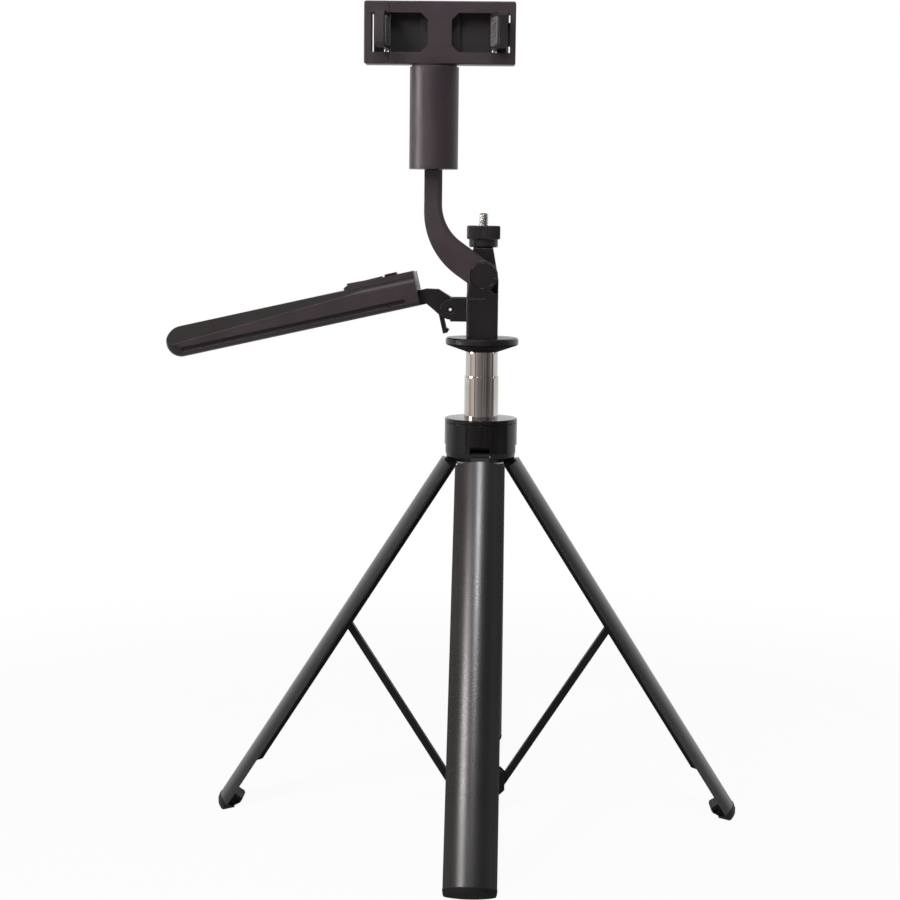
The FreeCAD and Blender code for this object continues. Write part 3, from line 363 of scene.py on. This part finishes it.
STRIP_CLEAN = (0.47, 0.46, 0.445)
STRIP_SOIL = (0.33, 0.315, 0.30)


def strip_finish():
    """Light grey moulded strip, a little soiled between its ribs."""
    f = new_finish("strip_grey")
    soft = f.soft_normal(radius=0.2 * MM)
    soil = f.noise(scale=260.0, detail=4.0).ramp(low=0.40, high=0.78)
    grain = f.noise(scale=2600.0, detail=2.0)
    colour = f.mix(soil, STRIP_CLEAN, STRIP_SOIL)
    rough = 0.46 + soil * 0.12
    normal = f.bump(grain, strength=0.25, distance=0.05 * MM, normal=soft)
    return f.close(f.surface(Base_Color=colour, Roughness=rough, Specular_IOR_Level=0.45, Normal=normal))


# The clamp's flap pockets, whose walls get painted shade

JAW_WALL = 4.7 * MM
END_WALL = 3.7 * MM
POCKET_DEPTH = 9.0 * MM
POCKET_HEIGHT = 24.8 * MM
MOUTH_EASE = 0.8 * MM
POCKET_EASE = 0.3 * MM
clamp_low, clamp_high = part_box("clamp_body")
jaw_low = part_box("sliding_jaw")[0]
slit_middle = (clamp_low.z + clamp_high.z) / 2
POCKETS = (
    Vector((jaw_low.x + JAW_WALL, clamp_low.y + MOUTH_EASE, slit_middle - POCKET_HEIGHT / 2)),
    Vector((clamp_high.x - END_WALL, clamp_low.y + POCKET_DEPTH, slit_middle + POCKET_HEIGHT / 2)),
)


def pocket_painted_shade(f):
    """1 on the walls of the flap pockets, where shade is painted."""
    return f.inside_box(*POCKETS, POCKET_EASE)


# The grip's areas of painted shade, measured from its hinge along the bar and across it

GRIP_SLOPE = math.radians(12.9)
GRIP_UP = Vector((-math.sin(GRIP_SLOPE), 0.0, math.cos(GRIP_SLOPE)))
GRIP_ALONG = Vector((math.cos(GRIP_SLOPE), 0.0, math.sin(GRIP_SLOPE)))
GRIP_HINGE = sum(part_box("grip_pin"), Vector()) / 2
UPPER_FACETS = (0.25, 0.55)
GROOVE_LOW = 9.4 * MM
GROOVE_HIGH = 13.8 * MM
GROOVE_NEAR = -27.0 * MM
GROOVE_LOW_EASE = 0.5 * MM
GROOVE_HIGH_EASE = 0.9 * MM
GROOVE_END_EASE = 2.0 * MM
DOME_START = -177.0 * MM
DOME_FULL = -183.0 * MM


def grip_painted_shade(f):
    """1 where shade is painted on the grip: its upper facets, its round end and the band along each side
    groove.
    """
    spot = f.spot()
    facing = f.node("ShaderNodeTexCoord", output="Normal")

    def along(vector, direction):
        return f.vector("DOT_PRODUCT", vector, tuple(direction), output="Value")

    upper = along(facing, GRIP_UP).ramp(*UPPER_FACETS)
    rise = along(spot, GRIP_UP) - GRIP_HINGE.dot(GRIP_UP)
    reach = along(spot, GRIP_ALONG) - GRIP_HINGE.dot(GRIP_ALONG)
    dome = reach.ramp(DOME_START, DOME_FULL)
    above = rise.ramp(GROOVE_LOW, GROOVE_LOW + GROOVE_LOW_EASE)
    below = rise.ramp(GROOVE_HIGH, GROOVE_HIGH - GROOVE_HIGH_EASE)
    beyond = reach.ramp(GROOVE_NEAR, GROOVE_NEAR - GROOVE_END_EASE)
    return upper.greater(dome).greater(above * below * beyond)


# Which finish each solid takes

# Colour of the painted shade on the clamp's pocket walls.
POCKET_SHADE_COLOUR = (0.0065, 0.0058, 0.0062)
# Colour of the painted shade on the grip's upper facets, round end and groove band.
GRIP_SHADE_COLOUR = (0.0085, 0.0080, 0.0072)
SATIN_TONES = ((0.0385, 0.0277, 0.0325), (0.0465, 0.0342, 0.0395))
ARM_TONES = ((0.0440, 0.0318, 0.0372), (0.0530, 0.0390, 0.0450))
NUT_TONES = ((0.0175, 0.0140, 0.0152), (0.0225, 0.0182, 0.0196))
FLAP_TONES = ((0.0260, 0.0204, 0.0230), (0.0340, 0.0270, 0.0300))
MATTE_TONES = ((0.0120, 0.0103, 0.0106), (0.0165, 0.0143, 0.0147))
INNER_TONES = ((0.0080, 0.0072, 0.0075), (0.0120, 0.0108, 0.0111))
# Painted shade in the pockets and on the grip: the mask, the shade colour and the added roughness.
POCKET_SHADE_PAINT = (pocket_painted_shade, POCKET_SHADE_COLOUR, 0.2)
GRIP_SHADE_PAINT = (grip_painted_shade, GRIP_SHADE_COLOUR, 0.0)
FINE_GRAIN = 2400.0
COARSE_GRAIN = 2000.0

LEG_SKIN = leg_skin_finish()
# A rub strength of 0.8 to 1.0 paints highlights along the edges; the default 0.35 is rubbed wear alone.
SATIN = moulded_plastic(
    "satin_moulding", SATIN_TONES, roughness=0.38, grain=FINE_GRAIN, reflect=0.42, rub_and_edge_highlight=0.8, edge=0.8 * MM,
)
ARM = moulded_plastic(
    "arm_moulding", ARM_TONES, roughness=0.38, grain=FINE_GRAIN, reflect=0.42, rub_and_edge_highlight=0.8, edge=0.8 * MM,
)
NUT = moulded_plastic(
    "nut_moulding", NUT_TONES, roughness=0.36, grain=COARSE_GRAIN, reflect=0.35, rub_and_edge_highlight=0.8, edge=0.3 * MM,
)
CLAMP = moulded_plastic(
    "clamp_moulding", SATIN_TONES, roughness=0.38, grain=FINE_GRAIN, reflect=0.42, darkened=POCKET_SHADE_PAINT,
)
GRIP = moulded_plastic(
    "grip_moulding", SATIN_TONES, roughness=0.36, grain=FINE_GRAIN, reflect=0.42, rub_and_edge_highlight=0.9, darkened=GRIP_SHADE_PAINT,
)
FLAP = moulded_plastic(
    "flap_moulding", FLAP_TONES, roughness=0.32, grain=COARSE_GRAIN, reflect=0.45, rub_and_edge_highlight=0.8,
)
HEAD = moulded_plastic(
    "head_moulding", MATTE_TONES, roughness=0.44, grain=COARSE_GRAIN, reflect=0.22, rub_and_edge_highlight=1.0, edge=1.0 * MM,
)
MATTE = moulded_plastic("matte_moulding", MATTE_TONES, roughness=0.46, grain=COARSE_GRAIN, reflect=0.20)
INNER = moulded_plastic("inner_moulding", INNER_TONES, roughness=0.46, grain=COARSE_GRAIN, reflect=0.20)
GLOSS = gloss_plastic()
FLANGE = flange_finish()
PLATED = plated_tube_finish()
STEEL = steel_finish()
RUBBER = rubber_finish()
STRIP = strip_finish()


def on_each_leg(*pieces):
    return [f"{piece}_{side}" for piece in pieces for side in SIDES]


DRESS = {
    LEG_SKIN: on_each_leg("leg_shell"),
    SATIN: ["pan_housing"],
    ARM: ["phone_arm"],
    CLAMP: ["clamp_body", "sliding_jaw"],
    GRIP: ["grip_body", "grip_rocker"],
    HEAD: ["head_body", "grip_knuckle"],
    MATTE: ["grip_button", "pan_collar"],
    FLAP: ["flap_left", "flap_right"],
    INNER: ["runner", *on_each_leg("leg_channel", "leg_foot", "strut")],
    GLOSS: ["hub", "hub_cap", "grip_pin"],
    FLANGE: ["flange"],
    PLATED: ["mast_outer_tube", "mast_inner_tube"],
    STEEL: ["arm_pivot_pin", "flap_pin_left", "flap_pin_right", *on_each_leg("leg_pin")],
    STRIP: ["grip_end_strip"],
}
for material, nodes in DRESS.items():
    for node in nodes:
        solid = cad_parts[node]
        solid.data.materials.clear()
        solid.data.materials.append(material)


# Made pieces

def add_piece(name, mesh_maker, material, body, slot, *nodes):
    """Builds one piece, gives it a finish and lets it ride on a body, in place of the nodes it stands for."""
    shape = bmesh.new()
    mesh_maker(shape)
    bmesh.ops.recalc_face_normals(shape, faces=shape.faces)
    mesh = bpy.data.meshes.new(name)
    shape.to_mesh(mesh)
    shape.free()
    mesh.materials.append(material)
    piece = bpy.data.objects.new(name, mesh)
    bpy.context.scene.collection.objects.link(piece)
    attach(piece, body)
    if nodes:
        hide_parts(*nodes)


def ring_stack(shape, rings):
    """Skins a list of closed rings of equal count; a first or last ring of a single point closes its end."""
    loops = [[shape.verts.new(p) for p in ring] for ring in rings]
    for low, high in zip(loops, loops[1:]):
        count = max(len(low), len(high))
        for i in range(count):
            j = (i + 1) % count
            quad = [low[i % len(low)], low[j % len(low)], high[j % len(high)], high[i % len(high)]]
            shape.faces.new(list(dict.fromkeys(quad)))
    return loops


def ring_stack_round(shape, rings):
    """Skins rings as `ring_stack` does and joins the last ring to the first."""
    loops = ring_stack(shape, rings)
    first, last = loops[0], loops[-1]
    for i in range(len(first)):
        j = (i + 1) % len(first)
        shape.faces.new((last[i], last[j], first[j], first[i]))


def ring_stack_capped(shape, rings):
    """Skins rings as `ring_stack` does and closes both ends with a flat face."""
    loops = ring_stack(shape, rings)
    shape.faces.new(loops[0])
    shape.faces.new(loops[-1])


def upright_ring(centre, z, radii):
    """Points round an upright axis, one at each of the given radii."""
    points = []
    for i, radius in enumerate(radii):
        angle = math.tau * i / len(radii)
        points.append((centre.x + radius * math.cos(angle), centre.y + radius * math.sin(angle), z))
    return points


THREAD_PITCH = 1.27 * MM
THREAD_DEPTH = 0.72 * MM
THREAD_TIP = 1.1 * MM
TIP_BEVEL = 1.25
FLANK_STEEPNESS = 1.9
ROOT_SHARE = 0.45
THREAD_COUNT = 40
THREAD_ROWS_A_TURN = 14
THREAD_LENGTH = 7.9 * MM
SHANK_RADIUS = 2.75 * MM


def camera_thread(shape):
    """Quarter-inch screw: a plain shank through the nut, then a helical thread with a bevelled tip."""
    low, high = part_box("camera_screw")
    centre = (low + high) / 2
    major = (high.x - low.x) / 2
    start = high.z - THREAD_LENGTH
    rows = round(THREAD_LENGTH / THREAD_PITCH * THREAD_ROWS_A_TURN)
    rings = [[(centre.x, centre.y, low.z)]]
    for z in (low.z, start):
        rings.append(upright_ring(centre, z, [SHANK_RADIUS] * THREAD_COUNT))
    for row in range(rows + 1):
        z = start + THREAD_LENGTH * row / rows
        tip = max(0.0, (z - high.z + THREAD_TIP) / THREAD_TIP)
        radii = []
        for i in range(THREAD_COUNT):
            phase = (z / THREAD_PITCH - i / THREAD_COUNT) % 1.0
            crest = min(1.0, max(0.0, FLANK_STEEPNESS * abs(2.0 * phase - 1.0) - ROOT_SHARE))
            radii.append(major - THREAD_DEPTH * max(1.0 - crest, TIP_BEVEL * tip))
        rings.append(upright_ring(centre, z, radii))
    rings.append([(centre.x, centre.y, high.z)])
    ring_stack(shape, rings)


KNURL_RIBS = 56
KNURL_DEPTH = 0.34 * MM
KNURL_PROFILE = (0.0, 0.55, 1.0, 0.55)
NUT_STEP = 5.2 * MM
NUT_EASE = 0.7 * MM
NUT_SMALL = 9.5 * MM
NUT_FLARE = 0.1 * MM
NUT_FLARE_HEIGHT = 0.4 * MM
NUT_BORE = 2.80 * MM
BORE_MOUTH = 1.2 * MM
BORE_MOUTH_DEPTH = 0.5 * MM


def knurled_nut(shape):
    """Two-step lock nut: a plain lower collar and a knurled upper rim with eased corners."""
    low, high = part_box("lock_nut")
    centre = (low + high) / 2
    wide = (high.x - low.x) / 2
    step = low.z + NUT_STEP
    plain = [0.0] * (KNURL_RIBS * len(KNURL_PROFILE))
    knurl = [rib * KNURL_DEPTH for rib in KNURL_PROFILE] * KNURL_RIBS
    profile = [
        (NUT_BORE, low.z, plain),
        (NUT_SMALL - NUT_EASE, low.z, plain),
        (NUT_SMALL, low.z + NUT_EASE, plain),
        (NUT_SMALL, step - NUT_FLARE_HEIGHT, plain),
        (NUT_SMALL + NUT_FLARE, step, plain),
        (wide - NUT_EASE, step, plain),
        (wide, step + NUT_EASE, knurl),
        (wide, high.z - NUT_EASE, knurl),
        (wide - NUT_EASE, high.z, plain),
        (NUT_BORE + BORE_MOUTH, high.z, plain),
        (NUT_BORE, high.z - BORE_MOUTH_DEPTH, plain),
    ]
    ring_stack_round(shape, [
        upright_ring(centre, z, [radius - cut for cut in cuts]) for radius, z, cuts in profile
    ])


add_piece("camera_screw_thread", camera_thread, STEEL, "head", "steel", "camera_screw")
add_piece("lock_nut_knurl", knurled_nut, NUT, "nut", "black_gloss", "lock_nut")

FLAP_LEAN = {"left": math.radians(6.0), "right": math.radians(15.0)}
PAD_LENGTH = 15.0 * MM
PAD_HEIGHT = 18.0 * MM
PAD_WALL = 0.9 * MM
PAD_CORNER = 2.2 * MM
PAD_CORNER_LEAST = 0.4 * MM
PAD_FRAME = 1.5 * MM
PAD_FIELD = 0.40 * MM
PAD_EASE = 0.25 * MM
PAD_EASE_START = 0.65
PAD_RIBS = 5
RIB_HALF = 0.62 * MM
RIB_END_GAP = 0.5 * MM
RIB_SHOULDER = 0.75
RIB_SHOULDER_HEIGHT = 0.82
RIB_TOP = 0.92
CORNER_STEPS = 6


def rounded_outline(wide, high, corner):
    """Points round a rectangle with round corners, centred on the origin."""
    points = []
    for quarter, (sx, sy) in enumerate(((1, 1), (-1, 1), (-1, -1), (1, -1))):
        for step in range(CORNER_STEPS + 1):
            angle = math.pi / 2 * (quarter + step / CORNER_STEPS)
            points.append((
                sx * (wide / 2 - corner) + corner * math.cos(angle),
                sy * (high / 2 - corner) + corner * math.sin(angle),
            ))
    return points


def flap_pad(side):
    """A rubber pad for a flap's inner face: a raised round-cornered frame round a ribbed field."""
    sign = -1 if side == "left" else 1
    low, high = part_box(f"flap_pad_{side}")
    lean = sign * FLAP_LEAN[side]
    along = Vector((math.sin(lean), -math.cos(lean), 0.0))
    out = Vector((-along.y, along.x, 0.0)) * -sign
    up = Vector((0.0, 0.0, 1.0))
    base = (low + high) / 2 - out * (PAD_WALL / 2)

    def ring(inset, height):
        corner = max(PAD_CORNER - inset, PAD_CORNER_LEAST)
        outline = rounded_outline(PAD_LENGTH - 2 * inset, PAD_HEIGHT - 2 * inset, corner)
        return [base + along * u + up * v + out * height for u, v in outline]

    def rib(shape, middle):
        """One soft-topped rib that crosses the field."""
        reach = PAD_LENGTH / 2 - PAD_FRAME - RIB_END_GAP
        shoulder = RIB_HALF * RIB_SHOULDER
        section = (
            (-RIB_HALF, PAD_FIELD / 2),
            (-shoulder, PAD_WALL * RIB_SHOULDER_HEIGHT),
            (0.0, PAD_WALL * RIB_TOP),
            (shoulder, PAD_WALL * RIB_SHOULDER_HEIGHT),
            (RIB_HALF, PAD_FIELD / 2),
        )
        ring_stack_capped(shape, [
            [base + along * u + up * (middle + v) + out * w for v, w in section] for u in (-reach, reach)
        ])

    def maker(shape):
        ring_stack_capped(shape, [
            ring(0.0, 0.0),
            ring(0.0, PAD_WALL * PAD_EASE_START),
            ring(PAD_EASE, PAD_WALL),
            ring(PAD_FRAME, PAD_WALL),
            ring(PAD_FRAME + PAD_EASE, PAD_FIELD),
        ])
        span = PAD_HEIGHT - 2 * PAD_FRAME
        for number in range(PAD_RIBS):
            rib(shape, span * ((number + 1) / (PAD_RIBS + 1) - 0.5))

    return maker


for flap in ("left", "right"):
    add_piece(
        f"flap_pad_{flap}_ribbed", flap_pad(flap), RUBBER, f"{flap}_flap", "rubber", f"flap_pad_{flap}",
    )

WASHER_RADIUS = 6.6 * MM
WASHER_CLEAR = 0.05 * MM
WASHER_COUNT = 64


def nut_washer(shape):
    """A thin eased washer that closes the seam between the neck and the lock nut."""
    nut_low, nut_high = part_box("lock_nut")
    middle = (nut_low + nut_high) / 2
    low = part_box("head_body")[1].z
    high = nut_low.z - WASHER_CLEAR
    ease = (high - low) / 4
    profile = (
        (NUT_BORE, low),
        (WASHER_RADIUS - ease, low),
        (WASHER_RADIUS, low + ease),
        (WASHER_RADIUS, high - ease),
        (WASHER_RADIUS - ease, high),
        (NUT_BORE, high),
    )
    ring_stack_round(shape, [upright_ring(middle, z, [radius] * WASHER_COUNT) for radius, z in profile])


add_piece("nut_washer", nut_washer, INNER, "head", "black_satin")

EAR_SKIN = 0.9 * MM
BEAD_RADIUS = 8.1 * MM
BEAD_WIRE = 0.32 * MM
BEAD_STEPS = 72
BEAD_SIDES = 8


def ear_bead(shape):
    """A thin raised bead round the ear's face, about the arm's pivot."""
    low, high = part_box("arm_pivot_pin")
    middle = (low + high) / 2
    face = low.y - EAR_SKIN + BEAD_WIRE / 4
    rings = []
    for step in range(BEAD_STEPS):
        turn = math.tau * step / BEAD_STEPS
        ring = []
        for corner in range(BEAD_SIDES):
            angle = math.tau * corner / BEAD_SIDES
            radius = BEAD_RADIUS + BEAD_WIRE * math.cos(angle)
            across = middle.x + radius * math.cos(turn)
            height = middle.z + radius * math.sin(turn)
            ring.append((across, face + BEAD_WIRE * math.sin(angle), height))
        rings.append(ring)
    ring_stack_round(shape, rings)


add_piece("ear_bead", ear_bead, GLOSS, "head", "black_gloss")

SLIT_WIDTH = 1.8 * MM
SLIT_LENGTH = 5.0 * MM
LEAF_CLEAR = 0.1 * MM
LEAF_CORNER = 0.9 * MM
LEAF_EASE = 0.2 * MM
LEAF_GAP = {"left": 1.0 * MM, "right": 0.9 * MM}


def hinge_leaf(side, low_z, high_z):
    """A thin round-cornered leaf in the slit behind a flap, with a narrow gap at the slit's outer side."""
    front = clamp_low.y + POCKET_DEPTH + LEAF_CLEAR
    back = clamp_high.y - LEAF_CLEAR
    if side == "left":
        wall = jaw_low.x + JAW_WALL
        inward = 1.0
    else:
        wall = clamp_high.x - END_WALL
        inward = -1.0
    outer = wall + inward * LEAF_GAP[side]
    inner = wall + inward * (SLIT_WIDTH - LEAF_CLEAR)
    ease = inward * LEAF_EASE
    middle = Vector((0.0, (front + back) / 2, (low_z + high_z) / 2))

    def ring(x, inset):
        outline = rounded_outline(back - front - 2 * inset, high_z - low_z - 2 * inset, LEAF_CORNER - inset)
        return [(x, middle.y + u, middle.z + v) for u, v in outline]

    def maker(shape):
        ring_stack_capped(shape, [
            ring(outer, LEAF_EASE),
            ring(outer + ease, 0.0),
            ring(inner - ease, 0.0),
            ring(inner, LEAF_EASE),
        ])

    return maker


slit_low = slit_middle - POCKET_HEIGHT / 2 + LEAF_CLEAR
slit_high = slit_middle + POCKET_HEIGHT / 2 - LEAF_CLEAR
slit_short = SLIT_LENGTH - 2 * LEAF_CLEAR
left_leaf = hinge_leaf("left", slit_low, slit_high)
right_low_leaf = hinge_leaf("right", slit_low, slit_low + slit_short)
right_high_leaf = hinge_leaf("right", slit_high - slit_short, slit_high)
add_piece("hinge_leaf_left", left_leaf, INNER, "jaw", "black_satin")
add_piece("hinge_leaf_right_low", right_low_leaf, INNER, "clamp", "black_satin")
add_piece("hinge_leaf_right_high", right_high_leaf, INNER, "clamp", "black_satin")


# Floor and background

WHITE = (1.0, 1.0, 1.0)


def background_rays(f, backdrop):
    """1 for rays that see the background: the camera's own, and those off gloss that meet the backdrop."""
    camera_ray = f.node("ShaderNodeLightPath", output="Is Camera Ray")
    glossy_ray = f.node("ShaderNodeLightPath", output="Is Glossy Ray") * backdrop
    clear_ray = f.node("ShaderNodeLightPath", output="Is Transmission Ray")
    return camera_ray.greater(glossy_ray).greater(clear_ray)


FLOOR_HALF = 6.0
FLOOR_FRONT = 0.9
FLOOR_PALE = (0.86, 0.86, 0.86)
FLOOR_CLEAR_RADIUS = (0.40, 0.85)
FLOOR_WHITE_SHARE = (0.945, 1.0)
FLOOR_BEHIND = (-0.10, 0.60)


def floor_finish():
    """Pale floor that keeps the object's soft shadow and fades to white further out."""
    f = new_finish("studio_floor")
    spot = f.spot()
    away = f.vector("LENGTH", spot, output="Value")
    lit = f.node("ShaderNodeBsdfDiffuse", None, {"Color": FLOOR_PALE})
    white = f.node("ShaderNodeEmission", None, {"Color": WHITE, "Strength": 1.0})
    behind = f.part(spot, "Y").ramp(*FLOOR_BEHIND)
    amount = background_rays(f, behind) * away.ramp(*FLOOR_CLEAR_RADIUS, *FLOOR_WHITE_SHARE)
    return f.close(f.node("ShaderNodeMixShader", None, {0: amount, 1: lit, 2: white}))


floor_mesh = bpy.data.meshes.new("studio_floor")
floor_corners = [
    (-FLOOR_HALF, -FLOOR_FRONT, 0.0),
    (FLOOR_HALF, -FLOOR_FRONT, 0.0),
    (FLOOR_HALF, FLOOR_HALF, 0.0),
    (-FLOOR_HALF, FLOOR_HALF, 0.0),
]
floor_mesh.from_pydata(floor_corners, [], [(0, 1, 2, 3)])
floor_mesh.materials.append(floor_finish())
floor = bpy.data.objects.new("studio_floor", floor_mesh)
bpy.context.scene.collection.objects.link(floor)

ROOM_LEVEL = (0.14, 0.14, 0.14)
BACKDROP_SPAN = (0.10, 0.65)
# Bright and dark stretches of the room from far left to far right, which plating and gloss mirror
ROOM_BANDS = [
    (0.00, (0.42, 0.40, 0.36)),
    (0.12, (0.50, 0.47, 0.42)),
    (0.15, (0.06, 0.05, 0.05)),
    (0.17, (0.60, 0.58, 0.58)),
    (0.30, (0.34, 0.32, 0.33)),
    (0.50, (0.26, 0.24, 0.25)),
    (0.54, (0.14, 0.13, 0.13)),
    (0.60, (0.30, 0.28, 0.29)),
    (0.70, (0.16, 0.15, 0.15)),
    (0.76, (0.28, 0.26, 0.27)),
    (0.80, (0.08, 0.07, 0.07)),
    (0.95, (0.20, 0.19, 0.20)),
    (0.98, (0.45, 0.45, 0.47)),
    (1.00, (0.16, 0.16, 0.17)),
]


def studio_room():
    """An even dim room, banded where gloss mirrors it, in front of a white backdrop."""
    f = Finish(bpy.data.worlds.new("studio_white"))
    towards = f.node("ShaderNodeTexCoord", output="Generated")
    across = f.part(towards, "X")
    depth = f.part(towards, "Y")
    sideways = across / (across * across + depth * depth) ** 0.5
    bands = f.node("ShaderNodeValToRGB", {"stops": ROOM_BANDS}, {0: sideways * 0.5 + 0.5})
    glossy_ray = f.node("ShaderNodeLightPath", output="Is Glossy Ray")
    room = f.mix(glossy_ray, ROOM_LEVEL, bands)
    colour = f.mix(background_rays(f, depth.ramp(*BACKDROP_SPAN)), room, WHITE)
    shown = f.node("ShaderNodeBackground", None, {"Color": colour, "Strength": 1.0})
    return f.close(shown, "ShaderNodeOutputWorld")


bpy.context.scene.world = studio_room()


# Lamps

def softbox(name, at, aim, size, watts, tint, beam=math.pi):
    """A rectangular soft lamp that looks from one point to another, with its beam's full angle."""
    data = bpy.data.lights.new(name, "AREA")
    data.shape = "RECTANGLE"
    data.size, data.size_y = size
    data.energy = watts
    data.color = tint
    data.spread = beam
    lamp = bpy.data.objects.new(name, data)
    lamp.location = at
    lamp.rotation_euler = (Vector(aim) - Vector(at)).to_track_quat("-Z", "Y").to_euler()
    bpy.context.scene.collection.objects.link(lamp)


COOL = (0.95, 0.97, 1.0)
WARM = (1.0, 0.93, 0.94)
BAND_BEAM = math.radians(26.0)
softbox(
    "overhead_strip", at=(0.0, -0.84, 1.50), aim=(0.0, -0.08, 0.20), size=(0.16, 0.50),
    watts=8.5, tint=COOL,
)
softbox(
    "left_key", at=(-0.66, -0.93, 1.06), aim=(0.0, -0.10, 0.20), size=(0.36, 0.35),
    watts=6.8, tint=WARM,
)
softbox(
    "left_band", at=(-1.58, -0.36, 0.52), aim=(0.0, 0.0, 0.47), size=(0.80, 0.24),
    watts=0.5, tint=WARM, beam=BAND_BEAM,
)
softbox(
    "left_panel", at=(-1.62, -0.50, 0.15), aim=(0.0, 0.0, 0.30), size=(1.50, 0.40),
    watts=0.9, tint=WARM,
)
softbox(
    "right_strip", at=(1.50, 0.02, 0.41), aim=(0.0, 0.0, 0.40), size=(0.10, 0.12),
    watts=0.15, tint=COOL,
)
softbox(
    "rear_softbox", at=(0.10, 0.90, 1.50), aim=(0.0, 0.0, 0.30), size=(1.00, 0.60),
    watts=0.8, tint=COOL,
)


# Camera at the photograph's place

CAMERA_AT = Vector((0.02096, -1.24401, 0.39883))
CAMERA_PITCH = math.radians(7.04)
CAMERA_HEADING = math.radians(1.9)
CAMERA_ROLL = math.radians(0.665)
FOCAL_PIXELS = 1885.94
PHOTO_PIXELS = 900.0
SENSOR = 36.0
CLIP_NEAR = 0.05
CLIP_FAR = 60.0

lens = bpy.data.cameras.new("photo_camera")
lens.sensor_width = SENSOR
lens.lens = SENSOR * (FOCAL_PIXELS / PHOTO_PIXELS)
lens.clip_start = CLIP_NEAR
lens.clip_end = CLIP_FAR
camera = bpy.data.objects.new("photo_camera", lens)
turn = (
    Matrix.Rotation(CAMERA_HEADING, 4, "Z")
    @ Matrix.Rotation(math.pi / 2 - CAMERA_PITCH, 4, "X")
    @ Matrix.Rotation(CAMERA_ROLL, 4, "Z")
)
camera.matrix_world = Matrix.Translation(CAMERA_AT) @ turn
bpy.context.scene.collection.objects.link(camera)
bpy.context.scene.camera = camera
bpy.context.scene.view_settings.view_transform = "Standard"
